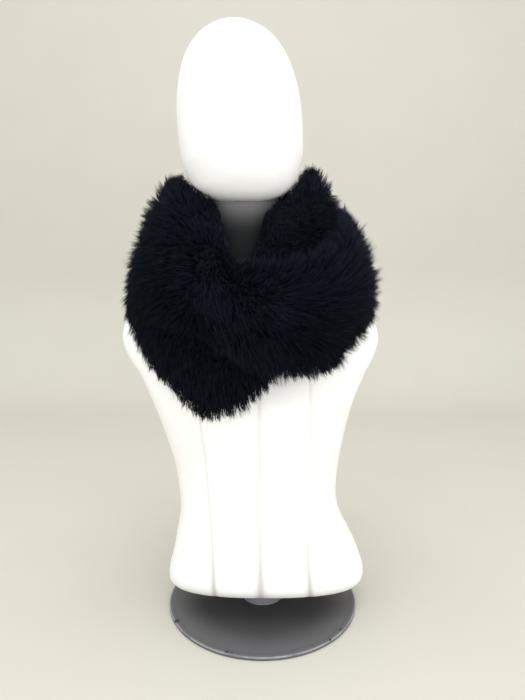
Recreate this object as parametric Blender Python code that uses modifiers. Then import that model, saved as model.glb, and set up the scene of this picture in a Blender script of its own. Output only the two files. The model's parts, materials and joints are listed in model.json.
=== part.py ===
"""A faux fur snood, wound twice round the neck of a limbless dress form.

Metres, +Z up. The origin is under the middle of the round base, and the front
of the form faces -Y. The snood is one closed tube of long fur, laid flat and
wound twice: the outer turn crosses the inner one in front. Its solids reach as
far as the tips of the fur.
"""

import math
from typing import NamedTuple

import bmesh
import bpy
from mathutils import Vector

# Round steel base and its short pole
BASE_RADIUS = 0.152
BASE_RIM_HEIGHT = 0.005
BASE_CROWN_HEIGHT = 0.009
BASE_CORNER = 0.0015
FLANGE_RADIUS = 0.034
FLANGE_HEIGHT = 0.011
POLE_RADIUS = 0.0125
SOCKET_DEPTH = 0.060
BASE_SIDES = 64
POLE_SIDES = 32

# Clearances
GAP = 0.0003
SOFT_GAP = 0.0004
FORM_CLEARANCE = 0.0008

# How finely the lofts are cut
FORM_SIDES = 40
FORM_RING_STEP = 0.020
FUR_SIDES = 24
FUR_RING_STEP = 0.015
FUR_EDGE_POWER = 2.3

# The snood turns about this upright line
SNOOD_AXIS = Vector((-0.022, 0.0, 0.0))


class FormRing(NamedTuple):
    """One level ring of the dress form: its middle and sizes in metres, and how square it is.

    The middles drift to the left on the way up, because the form leans on a worn socket.
    """

    height: float
    middle_x: float
    middle_y: float
    half_width: float
    half_depth: float
    power: float


TORSO_RINGS = (
    FormRing(0.0330, 0.005, 0.003, 0.132, 0.050, 2.6),
    FormRing(0.0350, 0.005, 0.003, 0.143, 0.056, 2.6),
    FormRing(0.0400, 0.005, 0.002, 0.152, 0.065, 2.6),
    FormRing(0.0480, 0.005, 0.001, 0.156, 0.077, 2.5),
    FormRing(0.0580, 0.006, 0.000, 0.157, 0.090, 2.4),
    FormRing(0.0720, 0.006, -0.001, 0.155, 0.100, 2.3),
    FormRing(0.0980, 0.005, -0.001, 0.147, 0.102, 2.3),
    FormRing(0.1250, 0.001, -0.001, 0.138, 0.096, 2.2),
    FormRing(0.1500, -0.003, -0.001, 0.129, 0.089, 2.2),
    FormRing(0.1750, -0.006, -0.001, 0.124, 0.085, 2.2),
    FormRing(0.2050, -0.008, -0.002, 0.124, 0.086, 2.2),
    FormRing(0.2450, -0.009, -0.004, 0.128, 0.090, 2.2),
    FormRing(0.3000, -0.012, -0.011, 0.139, 0.100, 2.2),
    FormRing(0.3450, -0.014, -0.016, 0.151, 0.108, 2.2),
    FormRing(0.3850, -0.015, -0.012, 0.168, 0.104, 2.3),
    FormRing(0.4150, -0.017, -0.006, 0.186, 0.095, 2.4),
    FormRing(0.4400, -0.018, -0.001, 0.193, 0.087, 2.5),
    FormRing(0.4650, -0.019, 0.003, 0.186, 0.080, 2.4),
    FormRing(0.4880, -0.020, 0.007, 0.160, 0.074, 2.2),
    FormRing(0.5080, -0.021, 0.010, 0.126, 0.068, 2.0),
    FormRing(0.5260, -0.022, 0.012, 0.092, 0.062, 2.0),
    FormRing(0.5440, -0.023, 0.011, 0.068, 0.058, 2.0),
    FormRing(0.5640, -0.024, 0.006, 0.056, 0.055, 2.0),
    FormRing(0.6000, -0.026, -0.003, 0.052, 0.053, 2.0),
    FormRing(0.6680, -0.028, -0.014, 0.050, 0.052, 2.0),
)

HEAD_RINGS = (
    FormRing(0.6355, -0.027, -0.060, 0.026, 0.018, 2.0),
    FormRing(0.6380, -0.027, -0.056, 0.040, 0.030, 2.1),
    FormRing(0.6430, -0.027, -0.049, 0.053, 0.046, 2.1),
    FormRing(0.6520, -0.028, -0.041, 0.066, 0.063, 2.1),
    FormRing(0.6660, -0.028, -0.033, 0.076, 0.081, 2.0),
    FormRing(0.6860, -0.029, -0.028, 0.083, 0.095, 2.0),
    FormRing(0.7020, -0.029, -0.026, 0.086, 0.101, 2.0),
    FormRing(0.7220, -0.030, -0.026, 0.087, 0.105, 2.0),
    FormRing(0.7550, -0.032, -0.025, 0.087, 0.107, 2.0),
    FormRing(0.7900, -0.034, -0.023, 0.083, 0.104, 2.0),
    FormRing(0.8250, -0.036, -0.021, 0.073, 0.093, 2.0),
    FormRing(0.8520, -0.037, -0.019, 0.056, 0.072, 2.0),
    FormRing(0.8680, -0.038, -0.018, 0.035, 0.046, 2.0),
    FormRing(0.8740, -0.038, -0.018, 0.015, 0.020, 2.0),
)


class Station(NamedTuple):
    """One upright cross-section of the fur tube, on its way round the neck.

    turn is the angle round the neck in degrees, from the front towards the
    viewer's right. The flat tube has a top edge and a foot edge, each given by
    its distance from the neck's axis and its height. half_thick is half the
    tube's thickness with the fur, bulge is how far its middle stands out
    between the edges, and fold is how deep the creases in its outer face are.
    """

    turn: float
    top_radius: float
    top_height: float
    foot_radius: float
    foot_height: float
    half_thick: float
    bulge: float
    fold: float


STATIONS = (
    Station(-90, 0.103, 0.677, 0.165, 0.456, 0.026, 0.007, 0.000),
    Station(-60, 0.091, 0.668, 0.175, 0.466, 0.026, 0.009, 0.001),
    Station(-42, 0.082, 0.653, 0.180, 0.470, 0.026, 0.012, 0.002),
    Station(-28, 0.078, 0.636, 0.184, 0.468, 0.026, 0.014, 0.004),
    Station(-17, 0.088, 0.606, 0.186, 0.456, 0.027, 0.014, 0.005),
    Station(-8, 0.104, 0.572, 0.186, 0.440, 0.028, 0.013, 0.006),
    Station(0, 0.115, 0.560, 0.186, 0.425, 0.028, 0.012, 0.006),
    Station(15, 0.135, 0.556, 0.186, 0.411, 0.028, 0.011, 0.005),
    Station(35, 0.146, 0.566, 0.185, 0.412, 0.028, 0.009, 0.003),
    Station(47, 0.145, 0.583, 0.182, 0.437, 0.027, 0.008, 0.002),
    Station(60, 0.141, 0.604, 0.180, 0.455, 0.027, 0.007, 0.001),
    Station(90, 0.131, 0.632, 0.171, 0.468, 0.026, 0.006, 0.000),
    Station(130, 0.120, 0.626, 0.154, 0.464, 0.025, 0.008, 0.000),
    Station(180, 0.112, 0.612, 0.142, 0.458, 0.025, 0.008, 0.000),
    Station(225, 0.110, 0.606, 0.152, 0.454, 0.023, 0.008, 0.000),
    Station(270, 0.108, 0.600, 0.162, 0.448, 0.021, 0.006, 0.000),
    Station(300, 0.110, 0.580, 0.163, 0.421, 0.022, 0.008, 0.000),
    Station(320, 0.112, 0.562, 0.166, 0.389, 0.023, 0.012, 0.001),
    Station(340, 0.108, 0.550, 0.163, 0.350, 0.024, 0.013, 0.002),
    Station(352, 0.102, 0.548, 0.158, 0.353, 0.024, 0.012, 0.002),
    Station(364, 0.090, 0.574, 0.152, 0.373, 0.024, 0.012, 0.003),
    Station(378, 0.080, 0.630, 0.147, 0.412, 0.024, 0.012, 0.003),
    Station(400, 0.079, 0.651, 0.138, 0.476, 0.024, 0.013, 0.002),
    Station(425, 0.082, 0.670, 0.134, 0.510, 0.024, 0.012, 0.001),
    Station(450, 0.087, 0.693, 0.132, 0.526, 0.024, 0.008, 0.000),
    Station(495, 0.082, 0.668, 0.114, 0.518, 0.024, 0.008, 0.000),
    Station(540, 0.078, 0.658, 0.104, 0.510, 0.024, 0.008, 0.000),
    Station(585, 0.087, 0.662, 0.127, 0.488, 0.024, 0.008, 0.000),
)
WHOLE_WIND = 720
FOLDS_ACROSS = 3


class Stretch(NamedTuple):
    """A stretch of the wound tube that shows as one piece: its name and its two ends in degrees."""

    name: str
    start: float
    end: float


OVER_FRONT = Stretch("snood_over_front", -105, 105)
LOW_BACK = Stretch("snood_low_back", 105, 255)
UNDER_FRONT = Stretch("snood_under_front", 255, 465)
HIGH_BACK = Stretch("snood_high_back", 465, 615)


def material(name, colour, roughness, metallic=0.0):
    """A plain Principled material of one colour."""
    made = bpy.data.materials.new(name)
    made.use_nodes = True
    shader = made.node_tree.nodes["Principled BSDF"]
    shader.inputs["Base Color"].default_value = (*colour, 1.0)
    shader.inputs["Roughness"].default_value = roughness
    shader.inputs["Metallic"].default_value = metallic
    return made


def collection(name):
    """A new collection in the scene."""
    made = bpy.data.collections.new(name)
    bpy.context.scene.collection.children.link(made)
    return made


def loft(name, rings):
    """A closed mesh through rings of points, each ring the same length, with a flat fan at each end."""
    mesh = bmesh.new()
    laid = [[mesh.verts.new(point) for point in ring] for ring in rings]
    count = len(rings[0])
    for low, high in zip(laid, laid[1:]):
        for i in range(count):
            j = (i + 1) % count
            mesh.faces.new((low[i], low[j], high[j], high[i]))
    for ring in (laid[0], laid[-1]):
        middle = mesh.verts.new(sum((v.co for v in ring), Vector()) / count)
        for i in range(count):
            mesh.faces.new((ring[i], ring[(i + 1) % count], middle))
    bmesh.ops.recalc_face_normals(mesh, faces=mesh.faces)
    if mesh.calc_volume(signed=True) < 0:
        bmesh.ops.reverse_faces(mesh, faces=mesh.faces)
    data = bpy.data.meshes.new(name)
    mesh.to_mesh(data)
    mesh.free()
    data.shade_smooth()
    data.set_sharp_from_angle(angle=math.radians(50))
    return bpy.data.objects.new(name, data)


def between(rows, columns, share):
    """Values part of the way from rows[1] to rows[2], on a smooth curve through all four rows."""
    before, low, high, after = (Vector(row[columns]) for row in rows)
    t, t2, t3 = share, share**2, share**3
    return 0.5 * (
        2 * low
        + (high - before) * t
        + (2 * before - 5 * low + 4 * high - after) * t2
        + (3 * low - before - 3 * high + after) * t3
    )


def superellipse(angle, power):
    """A point of a unit superellipse, squarer as its power rises above 2."""
    across, along = math.cos(angle), math.sin(angle)
    return (
        math.copysign(abs(across) ** (2 / power), across),
        math.copysign(abs(along) ** (2 / power), along),
    )


def form_ring(row, swell):
    """The points of one ring of the form, made larger all round by swell."""
    points = []
    for side in range(FORM_SIDES):
        x, y = superellipse(2 * math.pi * side / FORM_SIDES, row.power)
        points.append(
            Vector((
                row.middle_x + x * (row.half_width + swell),
                row.middle_y + y * (row.half_depth + swell),
                row.height,
            ))
        )
    return points


def form_body(name, table, swell=0.0):
    """Part of the dress form, lofted through its table of rings."""
    rings = [form_ring(table[0]._replace(height=table[0].height - swell), swell)]
    for i, (low, high) in enumerate(zip(table, table[1:])):
        rows = (table[max(i - 1, 0)], low, high, table[min(i + 2, len(table) - 1)])
        steps = max(1, round((high.height - low.height) / FORM_RING_STEP))
        for step in range(steps):
            height = low.height + (high.height - low.height) * step / steps
            sizes = between(rows, slice(1, 6), step / steps)
            if swell == 0 and i == 0 and step == 0:
                continue
            rings.append(form_ring(FormRing(height, *sizes), swell))
    rings.append(form_ring(table[-1]._replace(height=table[-1].height + swell), swell))
    return loft(name, rings)


def station_at(turn):
    """The tube's section at any angle of its winding, on a smooth closed curve through the table."""
    turn = (turn - STATIONS[0].turn) % WHOLE_WIND + STATIONS[0].turn
    count = len(STATIONS)
    ends = [row.turn for row in STATIONS] + [STATIONS[0].turn + WHOLE_WIND]
    i = max(k for k in range(count) if ends[k] <= turn)
    share = (turn - ends[i]) / (ends[i + 1] - ends[i])
    rows = [STATIONS[(i + k) % count] for k in (-1, 0, 1, 2)]
    return Station(turn, *between(rows, slice(1, 8), share))


def outward(turn):
    """The level direction away from the neck at an angle of the winding."""
    angle = math.radians(turn)
    return Vector((math.sin(angle), -math.cos(angle), 0.0))


def fur_ring(turn, swell):
    """The points of one upright cross-section of the fur tube, made larger all round by swell."""
    station = station_at(turn)
    out, up = outward(turn), Vector((0, 0, 1))
    top = out * station.top_radius + up * station.top_height
    foot = out * station.foot_radius + up * station.foot_height
    rise = (top - foot).normalized()
    face = out * rise.z - up * rise.dot(out)
    half_width = (top - foot).length / 2
    points = []
    for side in range(FUR_SIDES):
        across, through = superellipse(2 * math.pi * side / FUR_SIDES, FUR_EDGE_POWER)
        crease = 0.5 - 0.5 * math.cos(math.pi * FOLDS_ACROSS * (across + 1))
        depth = (station.half_thick + swell) * through + station.bulge * (1 - across**2)
        depth -= station.fold * crease * max(through, 0)
        points.append(
            SNOOD_AXIS + (top + foot) / 2 + rise * across * (half_width + swell) + face * depth
        )
    return points


def middle_of(turn):
    """The middle of the tube's section at an angle of its winding."""
    return sum(fur_ring(turn, 0.0), Vector()) / FUR_SIDES


def fur_stretch(stretch, swell=0.0):
    """One stretch of the fur tube, closed at both ends, made larger all round by swell."""
    start, end = stretch.start, stretch.end
    reach = sum(
        (middle_of(start + k + 1) - middle_of(start + k)).length
        for k in range(int(end - start))
    )
    trim = math.degrees((GAP / 2 - swell) / station_at(start).top_radius)
    start, end = start + trim, end - trim
    steps = round(reach / FUR_RING_STEP)
    turns = [start + (end - start) * step / steps for step in range(steps + 1)]
    return loft(stretch.name, [fur_ring(turn, swell) for turn in turns])


def cut(body, cutter, group):
    """Takes the cutter out of the body now, and puts the cutter away."""
    group.objects.link(cutter)
    cutter.hide_render = True
    cutter.display_type = "WIRE"
    modifier = body.modifiers.new("cut", "BOOLEAN")
    modifier.operation = "DIFFERENCE"
    modifier.solver = "MANIFOLD"
    modifier.object = cutter
    bpy.context.view_layer.update()
    graph = bpy.context.evaluated_depsgraph_get()
    whole = bpy.data.meshes.new_from_object(body.evaluated_get(graph))
    body.modifiers.clear()
    body.data = whole


def islands_of(mesh):
    """The faces of each separate body in a bmesh."""
    left, found = set(mesh.faces), []
    while left:
        island, edge = set(), [left.pop()]
        while edge:
            face = edge.pop()
            island.add(face)
            near = {f for e in face.edges for f in e.link_faces} & left
            left -= near
            edge.extend(near)
        found.append(island)
    return found


def keep_largest(body):
    """Drops the crumbs that a cut leaves beside the piece itself."""
    mesh = bmesh.new()
    mesh.from_mesh(body.data)
    islands = sorted(islands_of(mesh), key=lambda faces: sum(f.calc_area() for f in faces))
    crumbs = [face for island in islands[:-1] for face in island]
    bmesh.ops.delete(mesh, geom=crumbs, context="FACES")
    mesh.to_mesh(body.data)
    mesh.free()


def turned(name, profile, sides):
    """A solid of revolution about +Z. The profile runs from the axis at the top, outwards and down, to the axis."""
    mesh = bpy.data.meshes.new(name)
    points = [(radius, 0.0, height) for radius, height in profile]
    mesh.from_pydata(points, [(i, i + 1) for i in range(len(points) - 1)], [])
    body = bpy.data.objects.new(name, mesh)
    screw = body.modifiers.new("turn", "SCREW")
    screw.steps = sides
    screw.render_steps = sides
    screw.use_merge_vertices = True
    screw.merge_threshold = 0.00001
    screw.use_smooth_shade = True
    return body


def base_disc(group):
    """The round base: a shallow crowned plate with a rolled rim and a flat underside."""
    crown = [
        (BASE_RADIUS * 0.93 * share, BASE_RIM_HEIGHT + (BASE_CROWN_HEIGHT - BASE_RIM_HEIGHT) * (1 - share**2))
        for share in (0.0, 0.25, 0.5, 0.75, 1.0)
    ]
    rim = [
        (BASE_RADIUS * 0.965, BASE_RIM_HEIGHT + 0.0006),
        (BASE_RADIUS - BASE_CORNER, BASE_RIM_HEIGHT),
        (BASE_RADIUS, BASE_RIM_HEIGHT - BASE_CORNER),
        (BASE_RADIUS, BASE_CORNER * 0.5),
        (BASE_RADIUS - BASE_CORNER * 0.5, 0.0),
        (0.0, 0.0),
    ]
    body = turned("form_base", crown + rim, BASE_SIDES)
    body.data.materials.append(material("dark_grey_steel", (0.085, 0.086, 0.090), 0.45, 0.2))
    group.objects.link(body)


def base_flange(group):
    """The collar that holds the pole upright on the base."""
    low = BASE_CROWN_HEIGHT + GAP
    high = low + FLANGE_HEIGHT
    inner = POLE_RADIUS + GAP
    outline = [
        (inner, high),
        (FLANGE_RADIUS * 0.55, high),
        (FLANGE_RADIUS * 0.72, high - 0.002),
        (FLANGE_RADIUS * 0.90, low + 0.0035),
        (FLANGE_RADIUS, low + 0.0015),
        (FLANGE_RADIUS, low),
        (inner, low),
        (inner, high),
    ]
    body = turned("form_flange", outline, POLE_SIDES)
    body.data.materials.append(material("grey_steel", (0.16, 0.16, 0.18), 0.40, 0.3))
    group.objects.link(body)


def pole_top():
    """The height of the pole's end, inside the torso's socket."""
    return TORSO_RINGS[0].height + SOCKET_DEPTH - GAP


def pole(group):
    """The short pole, from the base up into the socket in the torso."""
    low = BASE_CROWN_HEIGHT + GAP
    high = pole_top()
    outline = [(0.0, high), (POLE_RADIUS, high), (POLE_RADIUS, low), (0.0, low)]
    body = turned("form_pole", outline, POLE_SIDES)
    body.data.materials.append(material("pole_steel", (0.30, 0.30, 0.31), 0.35, 0.8))
    group.objects.link(body)


def torso(group, cutters):
    """The torso, from the rounded hips to the top of the neck, with the pole's socket in its underside."""
    body = form_body("form_torso", TORSO_RINGS)
    body.data.materials.append(material("white_jersey", (0.85, 0.85, 0.83), 0.75))
    group.objects.link(body)
    low = TORSO_RINGS[0].height
    outline = [
        (0.0, low + SOCKET_DEPTH),
        (POLE_RADIUS + GAP, low + SOCKET_DEPTH),
        (POLE_RADIUS + GAP, low - SOCKET_DEPTH),
        (0.0, low - SOCKET_DEPTH),
    ]
    cut(body, turned("socket_cutter", outline, POLE_SIDES), cutters)


def head(group, cutters):
    """The smooth, faceless head, with a socket in its underside that takes the top of the neck."""
    body = form_body("form_head", HEAD_RINGS)
    body.data.materials.append(material("white_head", (0.85, 0.85, 0.83), 0.60))
    group.objects.link(body)
    cut(body, form_body("neck_cutter", TORSO_RINGS, GAP), cutters)
    keep_largest(body)


def snood(group, cutters):
    """The four stretches of the wound fur tube, each pressed against the form and the stretches beneath it."""
    fur = material("black_faux_fur", (0.004, 0.0045, 0.007), 0.85)
    beneath = []
    for stretch in (UNDER_FRONT, HIGH_BACK, LOW_BACK, OVER_FRONT):
        body = fur_stretch(stretch)
        body.data.materials.append(fur)
        group.objects.link(body)
        for part, table in (("torso", TORSO_RINGS), ("head", HEAD_RINGS)):
            cut(body, form_body(f"{part}_cutter", table, FORM_CLEARANCE), cutters)
        for lower in beneath:
            cut(body, fur_stretch(lower, SOFT_GAP), cutters)
        keep_largest(body)
        beneath.append(stretch)


def main():
    """Clears the scene and builds the form and the snood."""
    for old in list(bpy.data.objects):
        bpy.data.objects.remove(old)
    parts = collection("fur_snood_on_dress_form")
    cutters = collection("cutters")
    base_disc(parts)
    base_flange(parts)
    pole(parts)
    torso(parts, cutters)
    head(parts, cutters)
    snood(parts, cutters)


main()
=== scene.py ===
"""The looks of a faux fur snood, wound twice round the neck of a limbless dress form.

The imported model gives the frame: metres, +Z up, the form's front towards -Y. The snood
is a thin cloth tube, pressed flat, with its long pile built as tapered hairs that reach
as far as the solids do. The form is a padded torso in white jersey with sewn seams, a
smooth head, and a painted steel stand.
"""

from __future__ import annotations

import json
import logging
import math
from dataclasses import dataclass
from enum import Enum
from typing import Callable, NamedTuple, Sequence

import bmesh
import bpy
import numpy as np
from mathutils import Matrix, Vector
from mathutils.bvhtree import BVHTree
from mathutils.kdtree import KDTree

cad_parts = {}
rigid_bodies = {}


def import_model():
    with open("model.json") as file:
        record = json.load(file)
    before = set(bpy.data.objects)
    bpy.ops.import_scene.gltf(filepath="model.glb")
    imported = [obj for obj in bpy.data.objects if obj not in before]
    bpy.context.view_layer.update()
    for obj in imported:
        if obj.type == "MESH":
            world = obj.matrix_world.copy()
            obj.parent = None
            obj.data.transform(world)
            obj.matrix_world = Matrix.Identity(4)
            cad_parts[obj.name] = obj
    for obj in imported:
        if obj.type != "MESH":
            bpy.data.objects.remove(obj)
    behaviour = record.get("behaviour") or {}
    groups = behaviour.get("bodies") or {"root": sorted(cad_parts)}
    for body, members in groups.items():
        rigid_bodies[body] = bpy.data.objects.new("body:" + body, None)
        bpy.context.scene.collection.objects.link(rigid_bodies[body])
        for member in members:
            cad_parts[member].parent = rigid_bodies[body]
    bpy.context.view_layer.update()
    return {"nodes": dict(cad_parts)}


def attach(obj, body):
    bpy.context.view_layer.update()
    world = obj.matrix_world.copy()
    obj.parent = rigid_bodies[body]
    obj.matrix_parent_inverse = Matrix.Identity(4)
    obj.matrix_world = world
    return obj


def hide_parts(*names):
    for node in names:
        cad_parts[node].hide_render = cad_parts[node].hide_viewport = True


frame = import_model()

log = logging.getLogger("snood")

Array = np.ndarray
Colour = tuple[float, float, float]
Point = tuple[float, float, float]
Span = tuple[float, float]
Course = tuple[tuple[float, ...], tuple[float, ...]]
Socket = bpy.types.NodeSocket
MM = 0.001
UP = np.array([0.0, 0.0, 1.0])
LEAST_LENGTH = 1e-12
LEAST_RUN = 1e-4
WELD = 1e-5


# Small helpers


def make_active(piece: bpy.types.Object) -> None:
    """Selects one piece alone and makes it the active object.

    Args:
        piece: The object that the next operator works on.
    """
    for item in bpy.context.view_layer.objects:
        item.select_set(False)
    piece.select_set(True)
    bpy.context.view_layer.objects.active = piece


def apply_modifier(piece: bpy.types.Object, kind: str, **settings: object) -> None:
    """Adds a modifier with its settings and applies it at once.

    Args:
        piece: The mesh object that takes the modifier.
        kind: Blender's name for the kind of modifier.
        **settings: The modifier's properties and their values.
    """
    make_active(piece)
    added = piece.modifiers.new(kind.lower(), kind)
    for name, value in settings.items():
        setattr(added, name, value)
    bpy.ops.object.modifier_apply(modifier=added.name)


def unit(vectors: Array) -> Array:
    """Vectors scaled to length one, along the last axis."""
    return vectors / np.maximum(np.linalg.norm(vectors, axis=-1, keepdims=True), LEAST_LENGTH)


def in_scene(name: str, data: bpy.types.ID) -> bpy.types.Object:
    """Puts data in the scene as a new object.

    Args:
        name: The object's name.
        data: Its mesh, light or camera.

    Returns:
        The new object, at the origin.
    """
    made = bpy.data.objects.new(name, data)
    bpy.context.scene.collection.objects.link(made)
    return made


def mesh_object(name: str, points: Array, faces: Sequence[Sequence[int]]) -> bpy.types.Object:
    """Makes a mesh object in the scene, shaded smooth.

    Args:
        name: The object's name.
        points: Corner positions in metres, one row each.
        faces: Corner indices of each face, in order round it.

    Returns:
        The new object, at the origin.
    """
    mesh = bpy.data.meshes.new(name)
    mesh.from_pydata([tuple(p) for p in points], [], [tuple(f) for f in faces])
    mesh.shade_smooth()
    return in_scene(name, mesh)


def triangle_mesh(name: str, points: Array, corners: Array) -> bpy.types.Mesh:
    """Makes a smooth mesh of triangles, quickly also where they are many.

    Args:
        name: The mesh's name.
        points: Corner positions in metres, one row each.
        corners: Corner indices of the triangles, three after three.

    Returns:
        The mesh.
    """
    mesh = bpy.data.meshes.new(name)
    mesh.vertices.add(len(points))
    mesh.vertices.foreach_set("co", points.ravel())
    mesh.loops.add(len(corners))
    mesh.loops.foreach_set("vertex_index", corners)
    mesh.polygons.add(len(corners) // 3)
    mesh.polygons.foreach_set("loop_start", np.arange(0, len(corners), 3))
    mesh.update(calc_edges=True)
    mesh.shade_smooth()
    return mesh


def carry(mesh: bpy.types.Mesh, name: str, values: Array) -> None:
    """Gives each point of a mesh a number, which a finish can read by its name."""
    mesh.attributes.new(name, "FLOAT", "POINT").data.foreach_set("value", values)


def face_outwards(piece: bpy.types.Object) -> None:
    """Turns every face of a closed piece to point outwards.

    Args:
        piece: The closed mesh object.
    """
    shape = bmesh.new()
    shape.from_mesh(piece.data)
    bmesh.ops.recalc_face_normals(shape, faces=shape.faces)
    if shape.calc_volume(signed=True) < 0:
        bmesh.ops.reverse_faces(shape, faces=shape.faces)
    shape.to_mesh(piece.data)
    shape.free()


def shade_smooth(piece: bpy.types.Object, sharp_from: float) -> None:
    """Shades a piece smooth, but for edges that turn by more than an angle in degrees."""
    piece.data.shade_smooth()
    piece.data.set_sharp_from_angle(angle=math.radians(sharp_from))


def ring_faces(rings: int, sides: int) -> list[tuple[int, int, int, int]]:
    """Lists the faces between rings of points that are laid one after another.

    Args:
        rings: How many rings there are.
        sides: How many points each ring has.

    Returns:
        The four corner indices of each face.
    """
    starts = [(ring * sides, (ring + 1) * sides) for ring in range(rings - 1)]
    return [
        (low + side, low + (side + 1) % sides, high + (side + 1) % sides, high + side)
        for low, high in starts
        for side in range(sides)
    ]


def smooth_between(rows: Array, places: Array) -> Array:
    """Reads a table on the smooth Catmull-Rom curve through its rows.

    Args:
        rows: One row of values for each whole place.
        places: Places as fractional row numbers, from 0 to the last row.

    Returns:
        One row of values for each place.
    """
    low = np.clip(np.floor(places).astype(int), 0, len(rows) - 2)
    t = (places - low)[:, None]
    before, after = rows[np.maximum(low - 1, 0)], rows[np.minimum(low + 2, len(rows) - 1)]
    here, there = rows[low], rows[low + 1]
    return 0.5 * (
        2 * here
        + (there - before) * t
        + (2 * before - 5 * here + 4 * there - after) * t**2
        + (3 * here - before - 3 * there + after) * t**3
    )


def eased(values: Array, low: float, high: float) -> Array:
    """Values stretched so that low becomes 0 and high becomes 1, eased at both ends."""
    t = np.clip((values - low) / (high - low), 0, 1)
    return t * t * (3 - 2 * t)


def followed(courses: Sequence[Course], values: Array) -> Array:
    """The sum of several courses, each given by places and the amounts there."""
    return sum(np.interp(values, places, amounts) for places, amounts in courses)


def superellipse(angles: Array, power: Array | float) -> tuple[Array, Array]:
    """Points of a unit superellipse, squarer as its power rises above 2."""
    across, along = np.cos(angles), np.sin(angles)
    return np.sign(across) * np.abs(across) ** (2 / power), np.sign(along) * np.abs(along) ** (2 / power)


# Finishes


class Grain(NamedTuple):
    """A noise: how fine it is, and how many layers it has."""

    scale: float
    layers: float


def shaded(colour: Colour, factor: float) -> Colour:
    """A colour made darker or paler by a factor."""
    return tuple(min(channel * factor, 1.0) for channel in colour)


class Shader:
    """A Principled material with a few nodes that feed it."""

    def __init__(self, name: str, roughness: float, specular: float, metallic: float = 0.0) -> None:
        """Makes the material and sets the values that are the same all over.

        Args:
            name: The material's name.
            roughness: How matt the surface is.
            specular: How strongly it reflects, 0.5 being usual.
            metallic: How much it looks like metal.
        """
        self.material = bpy.data.materials.new(name)
        self.material.use_nodes = True
        self.nodes = self.material.node_tree.nodes
        self.surface = self.nodes["Principled BSDF"]
        self.set("Roughness", roughness)
        self.set("Specular IOR Level", specular)
        self.set("Metallic", metallic)
        self.place = self.add("TexCoord", "Object", {})

    def feed(self, socket: Socket, value: Socket | float | Sequence[float]) -> None:
        """Gives an input a value of its own, or a link where the value is a socket.

        Args:
            socket: The input.
            value: A number, a vector, a colour or another node's output.
        """
        if isinstance(value, Socket):
            self.material.node_tree.links.new(value, socket)
        elif isinstance(value, tuple) and socket.type == "RGBA":
            socket.default_value = (*value, 1.0)
        else:
            socket.default_value = value

    def set(self, name: str, value: Socket | float | Colour) -> None:
        """Sets one of the surface's own inputs."""
        self.feed(self.surface.inputs[name], value)

    def add(self, kind: str, output: str | int, inputs: dict[str | int, object], **settings: str) -> Socket:
        """Adds a node.

        Args:
            kind: Blender's name for the kind of node, without ShaderNode before it.
            output: Which output is wanted.
            inputs: What each input gets.
            **settings: The node's properties and their values.

        Returns:
            The output.
        """
        node = self.nodes.new(f"ShaderNode{kind}")
        for name, value in settings.items():
            setattr(node, name, value)
        for place, value in inputs.items():
            self.feed(node.inputs[place], value)
        return node.outputs[output]

    def noise(self, grain: Grain, where: Socket | None = None) -> Socket:
        """Grey noise on the piece's own coordinates, or on stretched ones."""
        inputs = {"Scale": grain.scale, "Detail": grain.layers, "Vector": where or self.place}
        return self.add("TexNoise", "Fac", inputs)

    def stretched(self, scale: Point) -> Socket:
        """The piece's own coordinates, scaled by a different amount each way."""
        return self.add("Mapping", "Vector", {"Scale": scale, "Vector": self.place})

    def attribute(self, name: str) -> Socket:
        """A number that the mesh carries at each point."""
        return self.add("Attribute", "Fac", {}, attribute_name=name)

    def combine(self, operation: str, *values: Socket | float) -> Socket:
        """One sum on two or three values."""
        return self.add("Math", 0, dict(enumerate(values)), operation=operation)

    def ramp(self, value: Socket, low: float, high: float) -> Socket:
        """A value stretched so that low becomes 0 and high becomes 1, eased at both ends."""
        inputs = {"Value": value, "From Min": low, "From Max": high}
        return self.add("MapRange", "Result", inputs, interpolation_type="SMOOTHSTEP")

    def fall(self, value: Socket, low: float, high: float) -> Socket:
        """The opposite of a ramp: 1 at low and 0 at high."""
        return self.combine("SUBTRACT", 1.0, self.ramp(value, low, high))

    def blend(self, share: Socket, first: Socket | Colour, second: Socket | Colour) -> Socket:
        """A colour between two others, the second where the share is 1."""
        return self.add("Mix", 2, {0: share, 6: first, 7: second}, data_type="RGBA")

    def height(self) -> Socket:
        """The piece's own height coordinate."""
        return self.add("SeparateXYZ", "Z", {0: self.place})

    def from_axis(self) -> Socket:
        """How far each place is from the piece's upright axis, in metres."""
        return self.add("VectorMath", "Value", {0: self.stretched((1.0, 1.0, 0.0))}, operation="LENGTH")

    def distance_to(self, point: Point) -> Socket:
        """How far each place is from a point, in metres."""
        return self.add("VectorMath", "Value", {0: self.place, 1: point}, operation="DISTANCE")

    def relief(self, height: Socket, depth: float, strength: float = 1.0) -> None:
        """Adds fine relief from a height, with its depth in metres."""
        inputs = {"Distance": depth, "Strength": strength, "Height": height}
        self.set("Normal", self.add("Bump", "Normal", inputs))


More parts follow.
